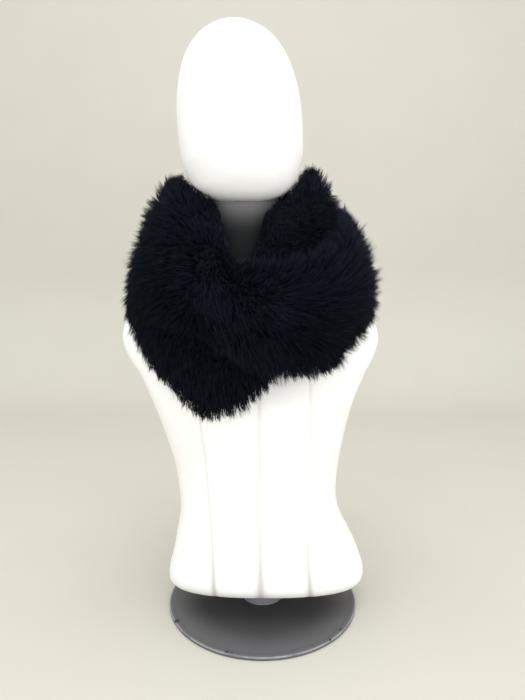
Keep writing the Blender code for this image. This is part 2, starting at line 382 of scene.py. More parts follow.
@dataclass(frozen=True)
class FurFinish:
    """Long blue-black pile: dark at the root, lighter and bluer at the tip."""

    root: Colour = (0.0042, 0.0049, 0.0086)
    tip: Colour = (0.0050, 0.0060, 0.0108)
    # Pale hairs and the painted highlight on the tips both reach this colour.
    pale_and_lit_tip: Colour = (0.0126, 0.0152, 0.0248)
    sheen: Colour = (0.55, 0.68, 1.0)
    pale_range: Span = (0.45, 1.0)
    tip_range: Span = (0.05, 0.80)
    roughness: float = 0.62
    specular: float = 0.10

    def material(self) -> bpy.types.Material:
        """Makes the pile's material from how far along its hair each point is, and from each hair's tone
        and painted light.

        Returns:
            The material.
        """
        shader = Shader("black_faux_fur_pile", self.roughness, self.specular)
        shader.set("Specular Tint", self.sheen)
        along, tone_and_painted_light = shader.attribute("along"), shader.attribute("tone_and_painted_light")
        # The tips grow paler with each hair's random tone and with its painted highlight and shade.
        tip = shader.blend(shader.ramp(tone_and_painted_light, *self.pale_range), self.tip, self.pale_and_lit_tip)
        shader.set("Base Color", shader.blend(shader.ramp(along, *self.tip_range), self.root, tip))
        return shader.material


@dataclass(frozen=True)
class BackingFinish:
    """The black knitted backing that the pile grows from."""

    colour: Colour = (0.0030, 0.0032, 0.0042)
    paler: Colour = (0.0055, 0.0060, 0.0075)
    sheen: Colour = (0.5, 0.65, 1.0)
    knit: Grain = Grain(900.0, 2.0)
    knit_stretch: Point = (1.0, 1.0, 0.5)
    knit_depth: float = 0.3 * MM
    roughness: float = 0.9
    specular: float = 0.1

    def material(self) -> bpy.types.Material:
        """Makes the backing's material, with a fine knit in its colour and relief.

        Returns:
            The material.
        """
        shader = Shader("black_knit_backing", self.roughness, self.specular)
        shader.set("Specular Tint", self.sheen)
        knit = shader.noise(self.knit, shader.stretched(self.knit_stretch))
        shader.set("Base Color", shader.blend(knit, self.colour, self.paler))
        shader.relief(knit, self.knit_depth)
        return shader.material


@dataclass(frozen=True)
class JerseyFinish:
    """White jersey stretched over the padded form, a little soiled low down."""

    white: Colour = (0.95, 0.95, 0.94)
    soil: Colour = (0.82, 0.76, 0.64)
    # Painted shade in the seams' grooves, stronger low down.
    seam: Colour = (0.56, 0.535, 0.49)
    # Painted shade on the neck, where the fur shades it: grey, near black at its foot.
    neck: Colour = (0.270, 0.272, 0.280)
    collar: Colour = (0.023, 0.024, 0.026)
    low_heights: Span = (0.05, 0.24)
    neck_heights: Span = (0.520, 0.560)
    neck_shade_heights: Span = (0.580, 0.644)
    spots: Grain = Grain(38.0, 5.0)
    spot_range: Span = (0.58, 0.74)
    soil_share: float = 0.30
    seam_share: float = 0.30
    low_seam_share: float = 0.60
    knit: Grain = Grain(1300.0, 2.0)
    knit_stretch: Point = (1.0, 1.0, 0.45)
    knit_depth: float = 0.15 * MM
    knit_strength: float = 0.6
    roughness: float = 0.85
    specular: float = 0.2

    def material(self) -> bpy.types.Material:
        """Makes the jersey's material: knit, seams and neck with painted shade, faint spots low down.

        Returns:
            The material.
        """
        shader = Shader("white_jersey_cover", self.roughness, self.specular)
        height = shader.height()
        low_down = shader.fall(height, *self.low_heights)
        spots = shader.ramp(shader.noise(self.spots), *self.spot_range)
        soiled = shader.combine("MULTIPLY", spots, shader.combine("MULTIPLY", low_down, self.soil_share))
        cloth = shader.blend(soiled, self.white, self.soil)
        # Painted shade: the neck turns grey and darkens to near black towards its foot.
        rise = shader.ramp(height, *self.neck_shade_heights)
        neck = shader.blend(shader.combine("MULTIPLY", rise, rise), self.collar, self.neck)
        cloth = shader.blend(shader.ramp(height, *self.neck_heights), cloth, neck)
        # Painted shade along the seams, more of it low down.
        painted_light = shader.combine("MULTIPLY_ADD", low_down, self.low_seam_share, self.seam_share)
        painted_seam_shade = shader.combine("MULTIPLY", shader.attribute("seam"), painted_light)
        shader.set("Base Color", shader.blend(painted_seam_shade, cloth, self.seam))
        knit = shader.noise(self.knit, shader.stretched(self.knit_stretch))
        shader.relief(knit, self.knit_depth, self.knit_strength)
        return shader.material


@dataclass(frozen=True)
class HeadFinish:
    """A smooth white head of fine foam, with a soft skin."""

    white: Colour = (0.96, 0.96, 0.96)
    shade: Colour = (0.91, 0.91, 0.90)
    clouds: Grain = Grain(22.0, 4.0)
    cloud_range: Span = (0.45, 0.8)
    skin: Grain = Grain(420.0, 3.0)
    skin_depth: float = 0.12 * MM
    skin_strength: float = 0.5
    roughness: float = 0.55
    specular: float = 0.3

    def material(self) -> bpy.types.Material:
        """Makes the head's material, faintly uneven as moulded foam is.

        Returns:
            The material.
        """
        shader = Shader("white_foam_head", self.roughness, self.specular)
        clouds = shader.ramp(shader.noise(self.clouds), *self.cloud_range)
        shader.set("Base Color", shader.blend(clouds, self.white, self.shade))
        shader.relief(shader.noise(self.skin), self.skin_depth, self.skin_strength)
        return shader.material


class Chip(NamedTuple):
    """A chip in the paint: its place and its size, in metres."""

    place: Point
    size: float


@dataclass(frozen=True)
class PaintedSteelFinish:
    """Grey paint on steel, chipped through in places, with a painted rim highlight and middle shadow."""

    name: str
    paint: Colour
    # Colour of the painted highlight along the rim.
    painted_light: Colour = (0.30, 0.30, 0.31)
    bare: Colour = (0.030, 0.028, 0.027)
    speckle: Grain = Grain(260.0, 4.0)
    speckle_gain: float = 1.22
    speckle_depth: float = 0.05 * MM
    speckle_strength: float = 0.5
    roughness: float = 0.42
    roughness_spread: float = 0.18
    roughness_drop: float = 0.08
    specular: float = 0.5
    metallic: float = 0.15
    rim_radius: float | None = None
    rim_insets: Span = (2.4 * MM, 1.2 * MM)
    rim_heights: Span = (2.6 * MM, 4.4 * MM)
    # Patches of the painted rim highlight.
    highlight_patches: Grain = Grain(30.0, 4.0)
    highlight_patch_range: Span = (0.25, 0.6)
    # Painted shadow in the middle of a round plate, where the form above shades it.
    middle_shade: float = 0.55
    middle_range: Span = (0.58, 0.95)
    chips: tuple[Chip, ...] = ()
    chip_edge: Grain = Grain(480.0, 2.0)
    chip_ragged: float = 0.9
    chip_range: Span = (1.35, 1.55)

    def material(self) -> bpy.types.Material:
        """Makes the paint's material: fine speckle, painted rim highlight and shadow, and chips where they
        are listed.

        Returns:
            The material.
        """
        shader = Shader(self.name, self.roughness, self.specular, self.metallic)
        speckle = shader.noise(self.speckle)
        colour = shader.blend(speckle, self.paint, shaded(self.paint, self.speckle_gain))
        # A round plate gets a painted shadow in its middle and a painted highlight along its rim.
        if self.rim_radius:
            colour = self.painted_shadow_and_rim_highlight(shader, colour)
        for chip in self.chips:
            size, edge = chip.size, shader.noise(self.chip_edge)
            away = shader.distance_to(chip.place)
            ragged = shader.combine("MULTIPLY_ADD", edge, self.chip_ragged * size, away)
            chipped = shader.fall(ragged, *(share * size for share in self.chip_range))
            colour = shader.blend(chipped, colour, self.bare)
        shader.set("Base Color", colour)
        least = self.roughness - self.roughness_drop
        shader.set("Roughness", shader.combine("MULTIPLY_ADD", speckle, self.roughness_spread, least))
        shader.relief(speckle, self.speckle_depth, self.speckle_strength)
        return shader.material

    def painted_shadow_and_rim_highlight(self, shader: Shader, colour: Socket) -> Socket:
        """Paints shadow on the middle of a round plate and a patchy highlight along its rim.

        Args:
            shader: The paint's shader.
            colour: The paint's colour so far.

        Returns:
            The new colour.
        """
        away = shader.from_axis()
        # Painted highlight: a patchy paler band on top of the rim.
        near_rim = shader.ramp(away, *(self.rim_radius - inset for inset in self.rim_insets))
        patchy = shader.ramp(shader.noise(self.highlight_patches), *self.highlight_patch_range)
        top = shader.ramp(shader.height(), *self.rim_heights)
        painted_light = shader.combine("MULTIPLY", shader.combine("MULTIPLY", near_rim, patchy), top)
        # Painted shadow: the plate's middle is darker, where the form above shades it.
        outer = shader.ramp(away, *(share * self.rim_radius for share in self.middle_range))
        colour = shader.blend(outer, shaded(self.paint, self.middle_shade), colour)
        return shader.blend(painted_light, colour, self.painted_light)


@dataclass(frozen=True)
class StudioFinish:
    """The plain pale floor."""

    floor: Colour = (0.575, 0.558, 0.500)
    paler: float = 1.05
    mottle: Grain = Grain(6.0, 4.0)
    roughness: float = 0.8
    specular: float = 0.2

    def material(self) -> bpy.types.Material:
        """Makes the floor's material: matt, with a barely visible mottle.

        Returns:
            The material.
        """
        shader = Shader("pale_floor", self.roughness, self.specular)
        mottle = shader.noise(self.mottle)
        shader.set("Base Color", shader.blend(mottle, self.floor, shaded(self.floor, self.paler)))
        return shader.material


# The snood's shape


class Station(NamedTuple):
    """One upright cross-section of the fur tube, on its way round the neck.

    turn is the angle round the neck in degrees, from the front towards the viewer's
    right. The top and foot edges are given by their distance from the neck's axis and
    their height, in metres. half_thick is half the tube's thickness with its fur, and
    bulge is how far its middle stands out between its edges.
    """

    turn: float
    top_radius: float
    top_height: float
    foot_radius: float
    foot_height: float
    half_thick: float
    bulge: float


STATIONS = (
    Station(-90, 0.103, 0.677, 0.165, 0.456, 0.026, 0.007),
    Station(-60, 0.091, 0.668, 0.175, 0.466, 0.026, 0.009),
    Station(-42, 0.082, 0.653, 0.180, 0.470, 0.026, 0.012),
    Station(-28, 0.078, 0.636, 0.184, 0.468, 0.026, 0.014),
    Station(-17, 0.088, 0.606, 0.186, 0.456, 0.027, 0.014),
    Station(-8, 0.104, 0.572, 0.186, 0.440, 0.028, 0.013),
    Station(0, 0.115, 0.560, 0.186, 0.425, 0.028, 0.012),
    Station(15, 0.135, 0.556, 0.186, 0.411, 0.028, 0.011),
    Station(35, 0.146, 0.566, 0.185, 0.412, 0.028, 0.009),
    Station(47, 0.145, 0.583, 0.182, 0.437, 0.027, 0.008),
    Station(60, 0.141, 0.604, 0.180, 0.455, 0.027, 0.007),
    Station(90, 0.131, 0.632, 0.171, 0.468, 0.026, 0.006),
    Station(130, 0.120, 0.626, 0.154, 0.464, 0.025, 0.008),
    Station(180, 0.112, 0.612, 0.142, 0.458, 0.025, 0.008),
    Station(225, 0.110, 0.606, 0.152, 0.454, 0.023, 0.008),
    Station(270, 0.108, 0.600, 0.162, 0.448, 0.021, 0.006),
    Station(300, 0.110, 0.580, 0.163, 0.421, 0.022, 0.008),
    Station(320, 0.112, 0.562, 0.166, 0.389, 0.023, 0.012),
    Station(340, 0.108, 0.550, 0.163, 0.350, 0.024, 0.013),
    Station(352, 0.102, 0.548, 0.158, 0.353, 0.024, 0.012),
    Station(364, 0.090, 0.574, 0.152, 0.373, 0.024, 0.012),
    Station(378, 0.080, 0.630, 0.147, 0.412, 0.024, 0.012),
    Station(400, 0.079, 0.651, 0.138, 0.476, 0.024, 0.013),
    Station(425, 0.082, 0.670, 0.134, 0.510, 0.024, 0.012),
    Station(450, 0.087, 0.693, 0.132, 0.526, 0.024, 0.008),
    Station(495, 0.082, 0.668, 0.114, 0.518, 0.024, 0.008),
    Station(540, 0.078, 0.658, 0.104, 0.510, 0.024, 0.008),
    Station(585, 0.087, 0.662, 0.127, 0.488, 0.024, 0.008),
)
WHOLE_WIND = 720.0


class Stretch(Enum):
    """The stretches of the wound tube that show, each with its two ends in degrees."""

    OVER_FRONT = (-105.0, 105.0)
    LOW_BACK = (105.0, 255.0)
    UNDER_FRONT = (255.0, 465.0)
    HIGH_BACK = (465.0, 615.0)

    @property
    def label(self) -> str:
        """The stretch's name in piece names."""
        return self.name.lower()

    def covers(self, turns: Array) -> Array:
        """Which angles of the winding lie between the stretch's ends."""
        return (turns > self.value[0]) & (turns < self.value[1])


@dataclass(frozen=True)
class WoundTube:
    """The path and cross-sections of the snood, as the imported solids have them."""

    axis: Point = (-0.022, 0.0, 0.0)
    edge_power: float = 2.3
    mean_radius: float = 0.175
    pinch_turn: float = -1.0
    pinch_height: float = 0.528
    pinch_depth: float = 0.016
    pinch_reach: Span = (0.026, 0.034)
    fan_depth: float = 0.006
    fan_folds: float = 7.0
    fan_start: float = 0.020
    fan_reach: float = 0.085
    crest_rise: float = 0.008
    crest_half: float = 0.016
    crest_start: float = -0.046
    crest_slopes: Span = (0.30, 0.10)
    crest_foot: float = -0.12
    ruffle_start: Span = (-2, 8)
    ruffle_end: Span = (70, 90)

    def stations(self, turns: Array) -> Array:
        """Reads the table of stations on one closed smooth curve.

        Args:
            turns: Any angles of the winding, in degrees.

        Returns:
            The table's columns after turn, one row for each angle.
        """
        table = np.array(STATIONS)
        lap = np.zeros(table.shape[1])
        lap[0] = WHOLE_WIND
        rows = np.vstack([table[-2:] - lap, table, table[:3] + lap])
        inside = (turns - table[0, 0]) % WHOLE_WIND + table[0, 0]
        places = np.interp(inside, rows[:, 0], np.arange(len(rows)))
        return smooth_between(rows[:, 1:], places)

    def outward(self, turns: Array) -> Array:
        """Level directions away from the neck at angles of the winding."""
        angles = np.radians(turns)
        return np.stack([np.sin(angles), -np.cos(angles), np.zeros_like(angles)], axis=1)

    def across(self, around: Array) -> Array:
        """How near the top edge, 1, or the foot edge, -1, angles of the cross-section are."""
        return superellipse(around, self.edge_power)[0]

    def half_thick(self, turns: Array) -> Array:
        """Half the snood's thickness with its fur."""
        return self.stations(turns)[:, 4]

    def run(self, turns: Array) -> Array:
        """How far along the winding angles are from the pinch, in metres."""
        return np.radians(turns - self.pinch_turn) * self.mean_radius

    def rise(self, points: Array) -> Array:
        """How far points are above the pinch, in metres."""
        return points[:, 2] - self.pinch_height

    def ruffled(self, turns: Array) -> Array:
        """How much the upper edge is ruffled, which it is right of the crossing."""
        return eased(turns, *self.ruffle_start) * (1 - eased(turns, *self.ruffle_end))

    def crest_line(self, points: Array) -> Array:
        """How far along the winding the crest runs from the pinch, at the height of each point."""
        rise, (below, above) = self.rise(points), self.crest_slopes
        return self.crest_start + below * np.maximum(-rise, 0.0) + above * np.maximum(rise, 0.0)

    def gathers(self, turns: Array, points: Array) -> Array:
        """Sinks the outer face where the crossing's folds are.

        The turn that lies on top is pinched in front: folds fan from the pinch to the
        viewer's right, and a crest stands to its left.

        Args:
            turns: Angles of the winding in degrees.
            points: Places on the snood at those angles.

        Returns:
            How far each place is sunk, in metres.
        """
        run, rise = self.run(turns), self.rise(points)
        reach = np.hypot(run, rise)
        wide, high = self.pinch_reach
        pinch = self.pinch_depth * np.exp(-((run / wide) ** 2) - (rise / high) ** 2)
        spread = np.arctan2(rise, np.maximum(run, LEAST_RUN))
        folds = 0.5 - 0.5 * np.cos(self.fan_folds * spread)
        fan = self.fan_depth * folds * np.exp(-reach / self.fan_reach)
        fan *=(run > 0) * (1 - np.exp(-reach / self.fan_start))
        from_crest = (run - self.crest_line(points)) / self.crest_half
        crest = self.crest_rise * np.exp(-(from_crest**2)) * (rise > self.crest_foot)
        return np.where(Stretch.OVER_FRONT.covers(turns), pinch + fan - crest, 0.0)

    def skin(
        self, turns: Array, around: Array, half_thick: Array | float, inset: float, lift: float
    ) -> Array:
        """Finds points of a tube that follows the snood.

        Args:
            turns: Angles of the winding in degrees.
            around: Angles round the cross-section, 0 at the top edge and a quarter turn at the outer face.
            half_thick: Half the tube's thickness.
            inset: How far its edges stay inside the snood's own edges.
            lift: How far it is moved out from the snood's middle.

        Returns:
            One point for each pair of angles, in metres.
        """
        top_radius, top_height, foot_radius, foot_height, _, bulge = self.stations(turns).T
        out = self.outward(turns)
        top = out * top_radius[:, None] + UP * top_height[:, None]
        foot = out * foot_radius[:, None] + UP * foot_height[:, None]
        rise = unit(top - foot)
        face = out * rise[:, 2:] - UP * (rise * out).sum(axis=1, keepdims=True)
        half_width = np.linalg.norm(top - foot, axis=1) / 2
        across, through = superellipse(around, self.edge_power)
        depth = half_thick * through + lift + bulge * (1 - across**2)
        points = np.array(self.axis) + (top + foot) / 2
        points = points + rise * (across * (half_width - inset))[:, None]
        return points + face * (depth - self.gathers(turns, points) * (1 - across**4))[:, None]

    def shell(self, turns: Array, around: Array) -> Array:
        """Places on the outside of the fur."""
        return self.skin(turns, around, self.half_thick(turns), 0.0, 0.0)


@dataclass(frozen=True)
class Walls:
    """The closed solids that cloth and hair keep clear of."""

    trees: tuple[BVHTree, ...]
    ray_way: Point = (0.80, 0.36, 0.48)
    ray_step: float = 1e-6

    @classmethod
    def of(cls, *names: str) -> Walls:
        """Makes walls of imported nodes, as they stand at rest.

        Args:
            *names: The nodes' names.

        Returns:
            The walls.
        """
        trees = []
        for name in names:
            shape = bmesh.new()
            shape.from_mesh(frame["nodes"][name].data)
            bmesh.ops.remove_doubles(shape, verts=shape.verts, dist=WELD)
            trees.append(BVHTree.FromBMesh(shape))
            shape.free()
        return cls(tuple(trees))

    def within(self, tree: BVHTree, point: Vector) -> bool:
        """Tells whether a point is inside one wall.

        Args:
            tree: The wall's faces.
            point: The point.

        Returns:
            True where a ray from the point meets the wall an odd number of times.
        """
        way, hits = Vector(self.ray_way), 0
        place = tree.ray_cast(point, way)[0]
        while place is not None:
            hits += 1
            place = tree.ray_cast(place + way * self.ray_step, way)[0]
        return hits % 2 == 1

    def depth(self, point: Array) -> tuple[float, Vector, Vector]:
        """Finds the wall that a point is deepest in, or else nearest to.

        Args:
            point: The point.

        Returns:
            How deep the point is inside that wall, the wall's nearest place and the way out.
        """
        best, here = (-1.0, Vector(), Vector()), Vector(point)
        for tree in self.trees:
            place, _, _, distance = tree.find_nearest(here)
            sunk = self.within(tree, here)
            if (distance if sunk else -distance) > best[0]:
                way_out = (place - here if sunk else here - place).normalized()
                best = (distance if sunk else -distance, place, way_out)
        return best

    def depths(self, points: Array) -> Array:
        """How deep each point is inside the walls, below zero outside them."""
        return np.array([self.depth(point)[0] for point in points])

    def pushed_out(self, points: Array, clearances: Array) -> Array:
        """Moves points out to a clearance from the walls where they are closer or inside.

        Args:
            points: The points.
            clearances: The least distance of each, in metres.

        Returns:
            The moved points.
        """
        moved = points.copy()
        for i, (point, clear) in enumerate(zip(points, clearances)):
            inside, place, normal = self.depth(point)
            if inside > -clear:
                moved[i] = np.array(place + normal * float(clear))
        return moved


# The pile


@dataclass(frozen=True)
class RootSpread:
    """Where hairs grow: on the fur's outer face, its two edges and a little of its inner face."""

    tube: WoundTube
    grid: tuple[int, int] = (150, 73)
    inner_face: float = -0.30
    edge_extra: float = 0.35
    edge_range: Span = (0.70, 0.95)
    inner_top: Span = (0.45, 0.65)
    inner_foot: Span = (0.80, 0.45)

    def density(self, around: Array) -> Array:
        """Says how close the hairs stand.

        Args:
            around: Angles round the cross-section.

        Returns:
            The density at each angle, 1 on the middle of the outer face.
        """
        across, through = superellipse(around, self.tube.edge_power)
        inner = through <= self.inner_face
        outer_density = 1.0 + self.edge_extra * eased(np.abs(across), *self.edge_range)
        shows = np.where(inner, 0.0, outer_density)
        shows = np.where(inner & (across > self.inner_top[0]), self.inner_top[1], shows)
        return np.where(inner & (across < -self.inner_foot[0]), self.inner_foot[1], shows)

    def draw(self, stretch: Stretch, count: int, rng: np.random.Generator) -> tuple[Array, Array]:
        """Draws hair roots by chance.

        Args:
            stretch: Which stretch of the tube.
            count: How many roots.
            rng: The seeded source of chance.

        Returns:
            The roots' angles of the winding and round the cross-section.
        """
        along_count, around_count = self.grid
        turn_line = np.linspace(*stretch.value, along_count)
        around_line = np.linspace(0, math.tau, around_count)
        turns, around = [g.ravel() for g in np.meshgrid(turn_line, around_line, indexing="ij")]
        shell = self.tube.shell(turns, around).reshape(along_count, around_count, 3)
        sides = np.cross(shell[1:, :-1] - shell[:-1, :-1], shell[:-1, 1:] - shell[:-1, :-1])
        area = np.linalg.norm(sides, axis=2)
        weights = (area * self.density((around_line[1:] + around_line[:-1]) / 2)[None, :]).ravel()
        cells = rng.choice(len(weights), size=count, p=weights / weights.sum())
        row, column = np.divmod(cells, around_count - 1)
        turn_step, around_step = turn_line[1] - turn_line[0], around_line[1]
        turns = turn_line[row] + rng.random(count) * turn_step
        return turns, around_line[column] + rng.random(count) * around_step


@dataclass(frozen=True)
class PileGrowth:
    """How long the pile is.

    It is long on the hanging edges, and on the upper edge right of the crossing. It is
    pressed short on the edges beside the neck.
    """

    tube: WoundTube
    foot: float = 0.12
    foot_range: Span = (0.5, 0.95)
    ruffle: float = 0.35
    ruffle_range: Span = (0.55, 0.90)
    press: float = 0.46
    press_range: Span = (0.30, 0.70)
    press_courses: tuple[Course, ...] = (
        ((-36, -30, -20, -6, 0), (0.0, 0.6, 1.2, 1.4, 0.0)),
        ((352, 362, 402, 412), (0.0, 1.3, 1.0, 0.0)),
    )

    def at(self, turns: Array, around: Array) -> Array:
        """Compares the pile's length at each root with its usual length.

        Args:
            turns: The roots' angles of the winding.
            around: Their angles round the cross-section.

        Returns:
            The length of each hair, where 1 is usual.
        """
        across = self.tube.across(around)
        grown = 1 + self.foot * eased(-across, *self.foot_range)
        grown += self.ruffle * self.tube.ruffled(turns) * eased(across, *self.ruffle_range)
        pressed = followed(self.press_courses, turns)
        return grown - self.press * pressed * eased(across, *self.press_range)


@dataclass(frozen=True)
class PaintedTipLight:
    """Painted light and shade in the tips' colour: how much paler they are than usual.

    They carry a painted highlight on the crest and on the upper turn's right flank, painted shade
    in the folds right of the crossing, and the darkest painted shade on the two edges of the upper
    turn that lie against the turn beneath it.
    """

    tube: WoundTube
    usual: float = 0.16
    # Painted highlight on the crest.
    crest: float = 0.46
    crest_half: float = 0.018
    # Painted shade in the folds right of the crossing.
    fold_shade: float = 0.36
    fold_shade_start: Span = (0.03, 0.07)
    fold_shade_end: Span = (0.15, 0.21)
    left: float = 0.30
    left_end: Span = (-0.11, -0.07)
    edge_range: Span = (0.45, 0.85)
    # Painted shade on the upper turn's edges that lie against the turn beneath it.
    upper: float = 0.60
    upper_start: Span = (-5, 10)
    upper_end: Span = (45, 70)
    lower: float = 0.70
    lower_end: Span = (-25, 5)
    # Painted highlight on the upper turn's right flank.
    outer: float = 0.50
    outer_start: Span = (62, 85)
    hung: float = 0.32
    hung_start: Span = (270, 300)
    hung_end: Span = (365, 380)
    elsewhere: float = -0.08

    def at(self, turns: Array, around: Array, shell: Array) -> Array:
        """Says how much painted light and shade the tip of each hair gets.

        Args:
            turns: The roots' angles of the winding.
            around: Their angles round the cross-section.
            shell: The places above them on the outside of the fur.

        Returns:
            What is added to each hair's tone, as painted light and shade.
        """
        run, across = self.tube.run(turns), self.tube.across(around)
        crest = np.exp(-(((run - self.tube.crest_line(shell)) / self.crest_half) ** 2))
        fold_shade = eased(run, *self.fold_shade_start) * (1 - eased(run, *self.fold_shade_end))
        left = 1 - eased(run, *self.left_end)
        upper = eased(across, *self.edge_range) * eased(turns, *self.upper_start)
        upper = upper * (1 - eased(turns, *self.upper_end))
        lower = eased(-across, *self.edge_range) * (1 - eased(turns, *self.lower_end))
        outer = eased(turns, *self.outer_start)
        # Painted light and shade: highlight on the crest and right flank, shade in the folds and on the
        # edges lying against the lower turn.
        shine = self.usual + self.crest * crest - self.fold_shade * fold_shade - self.left * left
        shine = shine - self.upper * upper - self.lower * lower + self.outer * outer
        hung = self.hung * eased(turns, *self.hung_start) * (1 - eased(turns, *self.hung_end))
        return np.where(Stretch.OVER_FRONT.covers(turns), shine, hung + self.elsewhere)


class Way(NamedTuple):
    """A way that the pile is brushed: its shares along the winding and downwards."""

    along: float
    down: float


@dataclass(frozen=True)
class PileLie:
    """Which way the pile is brushed, and how flat.

    On the upper turn it parts at the crest: it falls outwards to its left, slants down
    along it, and fans out from the pinch on the viewer's right. Elsewhere it mostly hangs.
    """

    tube: WoundTube
    inset: float
    probe_turn: float = 0.5
    probe_half: float = 4 * MM
    left_end: Span = (-0.075, -0.045)
    right_start: Span = (-0.005, 0.030)
    left_way: Way = Way(-0.55, 0.45)
    crest_way: Way = Way(0.60, 0.80)
    usual_way: Way = Way(0.30, 0.85)
    face_lean: float = 0.95
    edge_lean: float = 0.30
    edge_range: Span = (0.55, 0.98)
    hung_lean: float = 0.75
    hung_range: Span = (0.5, 0.9)
    hung_until: float = 10.0
    flank_range: Span = (0.86, 0.99)
    flank_calm: float = 0.55
    ruffle_lean: float = 0.45
    ruffle_range: Span = (0.50, 0.90)
    snug_lean: float = 0.55
    snug_range: Span = (0.35, 0.80)
    snug_courses: tuple[Course, ...] = (
        ((-88, -72, -38, -30), (0.0, 1.0, 1.0, 0.0)),
        ((398, 408, 436, 450), (0.0, 1.0, 1.0, 0.0)),
    )

    def ahead(self, turns: Array, around: Array) -> Array:
        """The direction along the winding at each root."""
        after, before = turns + self.probe_turn, turns - self.probe_turn
        return unit(self.tube.skin(after, around, self.probe_half, self.inset, 0.0)
                    - self.tube.skin(before, around, self.probe_half, self.inset, 0.0))

    def flatness(self, turns: Array, across: Array) -> Array:
        """Says how flat the pile lies.

        Args:
            turns: The roots' angles of the winding.
            across: How near the top or foot edge they are.

        Returns:
            How far each hair leans along its way, for each length that it stands up.
        """
        hung = eased(-across, *self.hung_range) * (turns < self.hung_until)
        edge_lean = self.edge_lean + (self.hung_lean - self.edge_lean) * hung
        flat = edge_lean + (self.face_lean - edge_lean) * (1 - eased(np.abs(across), *self.edge_range))
        sideways = eased(np.abs(np.sin(np.radians(turns))), *self.flank_range)
        return flat * (1 - self.flank_calm * sideways)

    def at(self, turns: Array, around: Array, shell: Array) -> Array:
        """Says which way each hair leans.

        Args:
            turns: The roots' angles of the winding.
            around: Their angles round the cross-section.
            shell: The places above them on the outside of the fur.

        Returns:
            A direction for each hair, longer where it lies flatter.
        """
        run, rise = self.tube.run(turns), self.tube.rise(shell)
        left, right = 1 - eased(run, *self.left_end), eased(run, *self.right_start)
        away, middle = np.maximum(np.hypot(run, rise), LEAST_RUN), 1 - left - right
        along = left * self.left_way.along + middle * self.crest_way.along + right * run / away
        down = left * self.left_way.down + middle * self.crest_way.down - right * rise / away
        over, across = Stretch.OVER_FRONT.covers(turns), self.tube.across(around)
        along = np.where(over, along, self.usual_way.along)
        down = np.where(over, down, self.usual_way.down)
        swept = along[:, None] * self.ahead(turns, around) - down[:, None] * UP
        swept = swept * self.flatness(turns, across)[:, None]
        inward = self.ruffle_lean * (self.tube.ruffled(turns) * eased(across, *self.ruffle_range))
        inward += self.snug_lean * followed(self.snug_courses, turns) * eased(across, *self.snug_range)
        return swept - self.tube.outward(turns) * inward[:, None]


class Strands(NamedTuple):
    """Hairs: where each starts, bends and ends, half its width in metres, and its tone with painted light
    and shade.
    """

    root: Array
    middle: Array
    tip: Array
    width: Array
    tone_and_painted_light: Array

    def some(self, chosen: Array) -> Strands:
        """The chosen hairs alone."""
        return Strands(*(column[chosen] for column in self))

    def piece(self, name: str, rng: np.random.Generator) -> bpy.types.Object:
        """Builds the hairs as one mesh of closed, three-sided, tapered spikes.

        Args:
            name: The piece's name.
            rng: The seeded source of chance.

        Returns:
            The piece.
        """
        sides, bend_width, bend_along = 3, 0.85, 0.55
        count, size = len(self.root), 2 * sides + 1
        along = unit(self.tip - self.root)
        side = unit(np.cross(along, unit(rng.normal(size=(count, 3)))))
        other = np.cross(along, side)
        rings = []
        for centre, share in ((self.root, 1.0), (self.middle, bend_width)):
            for corner in range(sides):
                angle = math.tau * corner / sides
                way = side * math.cos(angle) + other * math.sin(angle)
                rings.append(centre + way * (self.width * share)[:, None])
        points = np.stack([*rings, self.tip], axis=1).reshape(-1, 3)
        pattern = [(0, 2, 1)]
        for k in range(sides):
            n = (k + 1) % sides
            pattern += [(k, n, sides + n), (k, sides + n, sides + k), (sides + k, sides + n, 2 * sides)]
        corners = (np.arange(count)[:, None, None] * size + np.array(pattern)[None]).reshape(-1)
        mesh = triangle_mesh(name, points, corners)
        carry(mesh, "along", np.tile([0.0] * sides + [bend_along] * sides + [1.0], count))
        # Each hair carries its tone together with its painted light and shade.
        carry(mesh, "tone_and_painted_light", np.repeat(self.tone_and_painted_light, size))
        return in_scene(name, mesh)


# The snood


class PilePlan(NamedTuple):
    """The pile of one stretch: how many hairs, in how many pieces, and what lies on top of it."""

    stretch: Stretch
    hairs: int
    shares: int
    cover: Stretch | None


PILE_PLAN = (
    PilePlan(Stretch.OVER_FRONT, 38000, 2, None),
    PilePlan(Stretch.UNDER_FRONT, 24000, 2, Stretch.OVER_FRONT),
    PilePlan(Stretch.LOW_BACK, 15000, 1, None),
    PilePlan(Stretch.HIGH_BACK, 11000, 1, Stretch.LOW_BACK),
)


class Tufting(NamedTuple):
    """How hairs are drawn together: how many to a tuft, how strongly, and how unevenly long tufts are."""

    hairs: int
    strength: float
    uneven: float


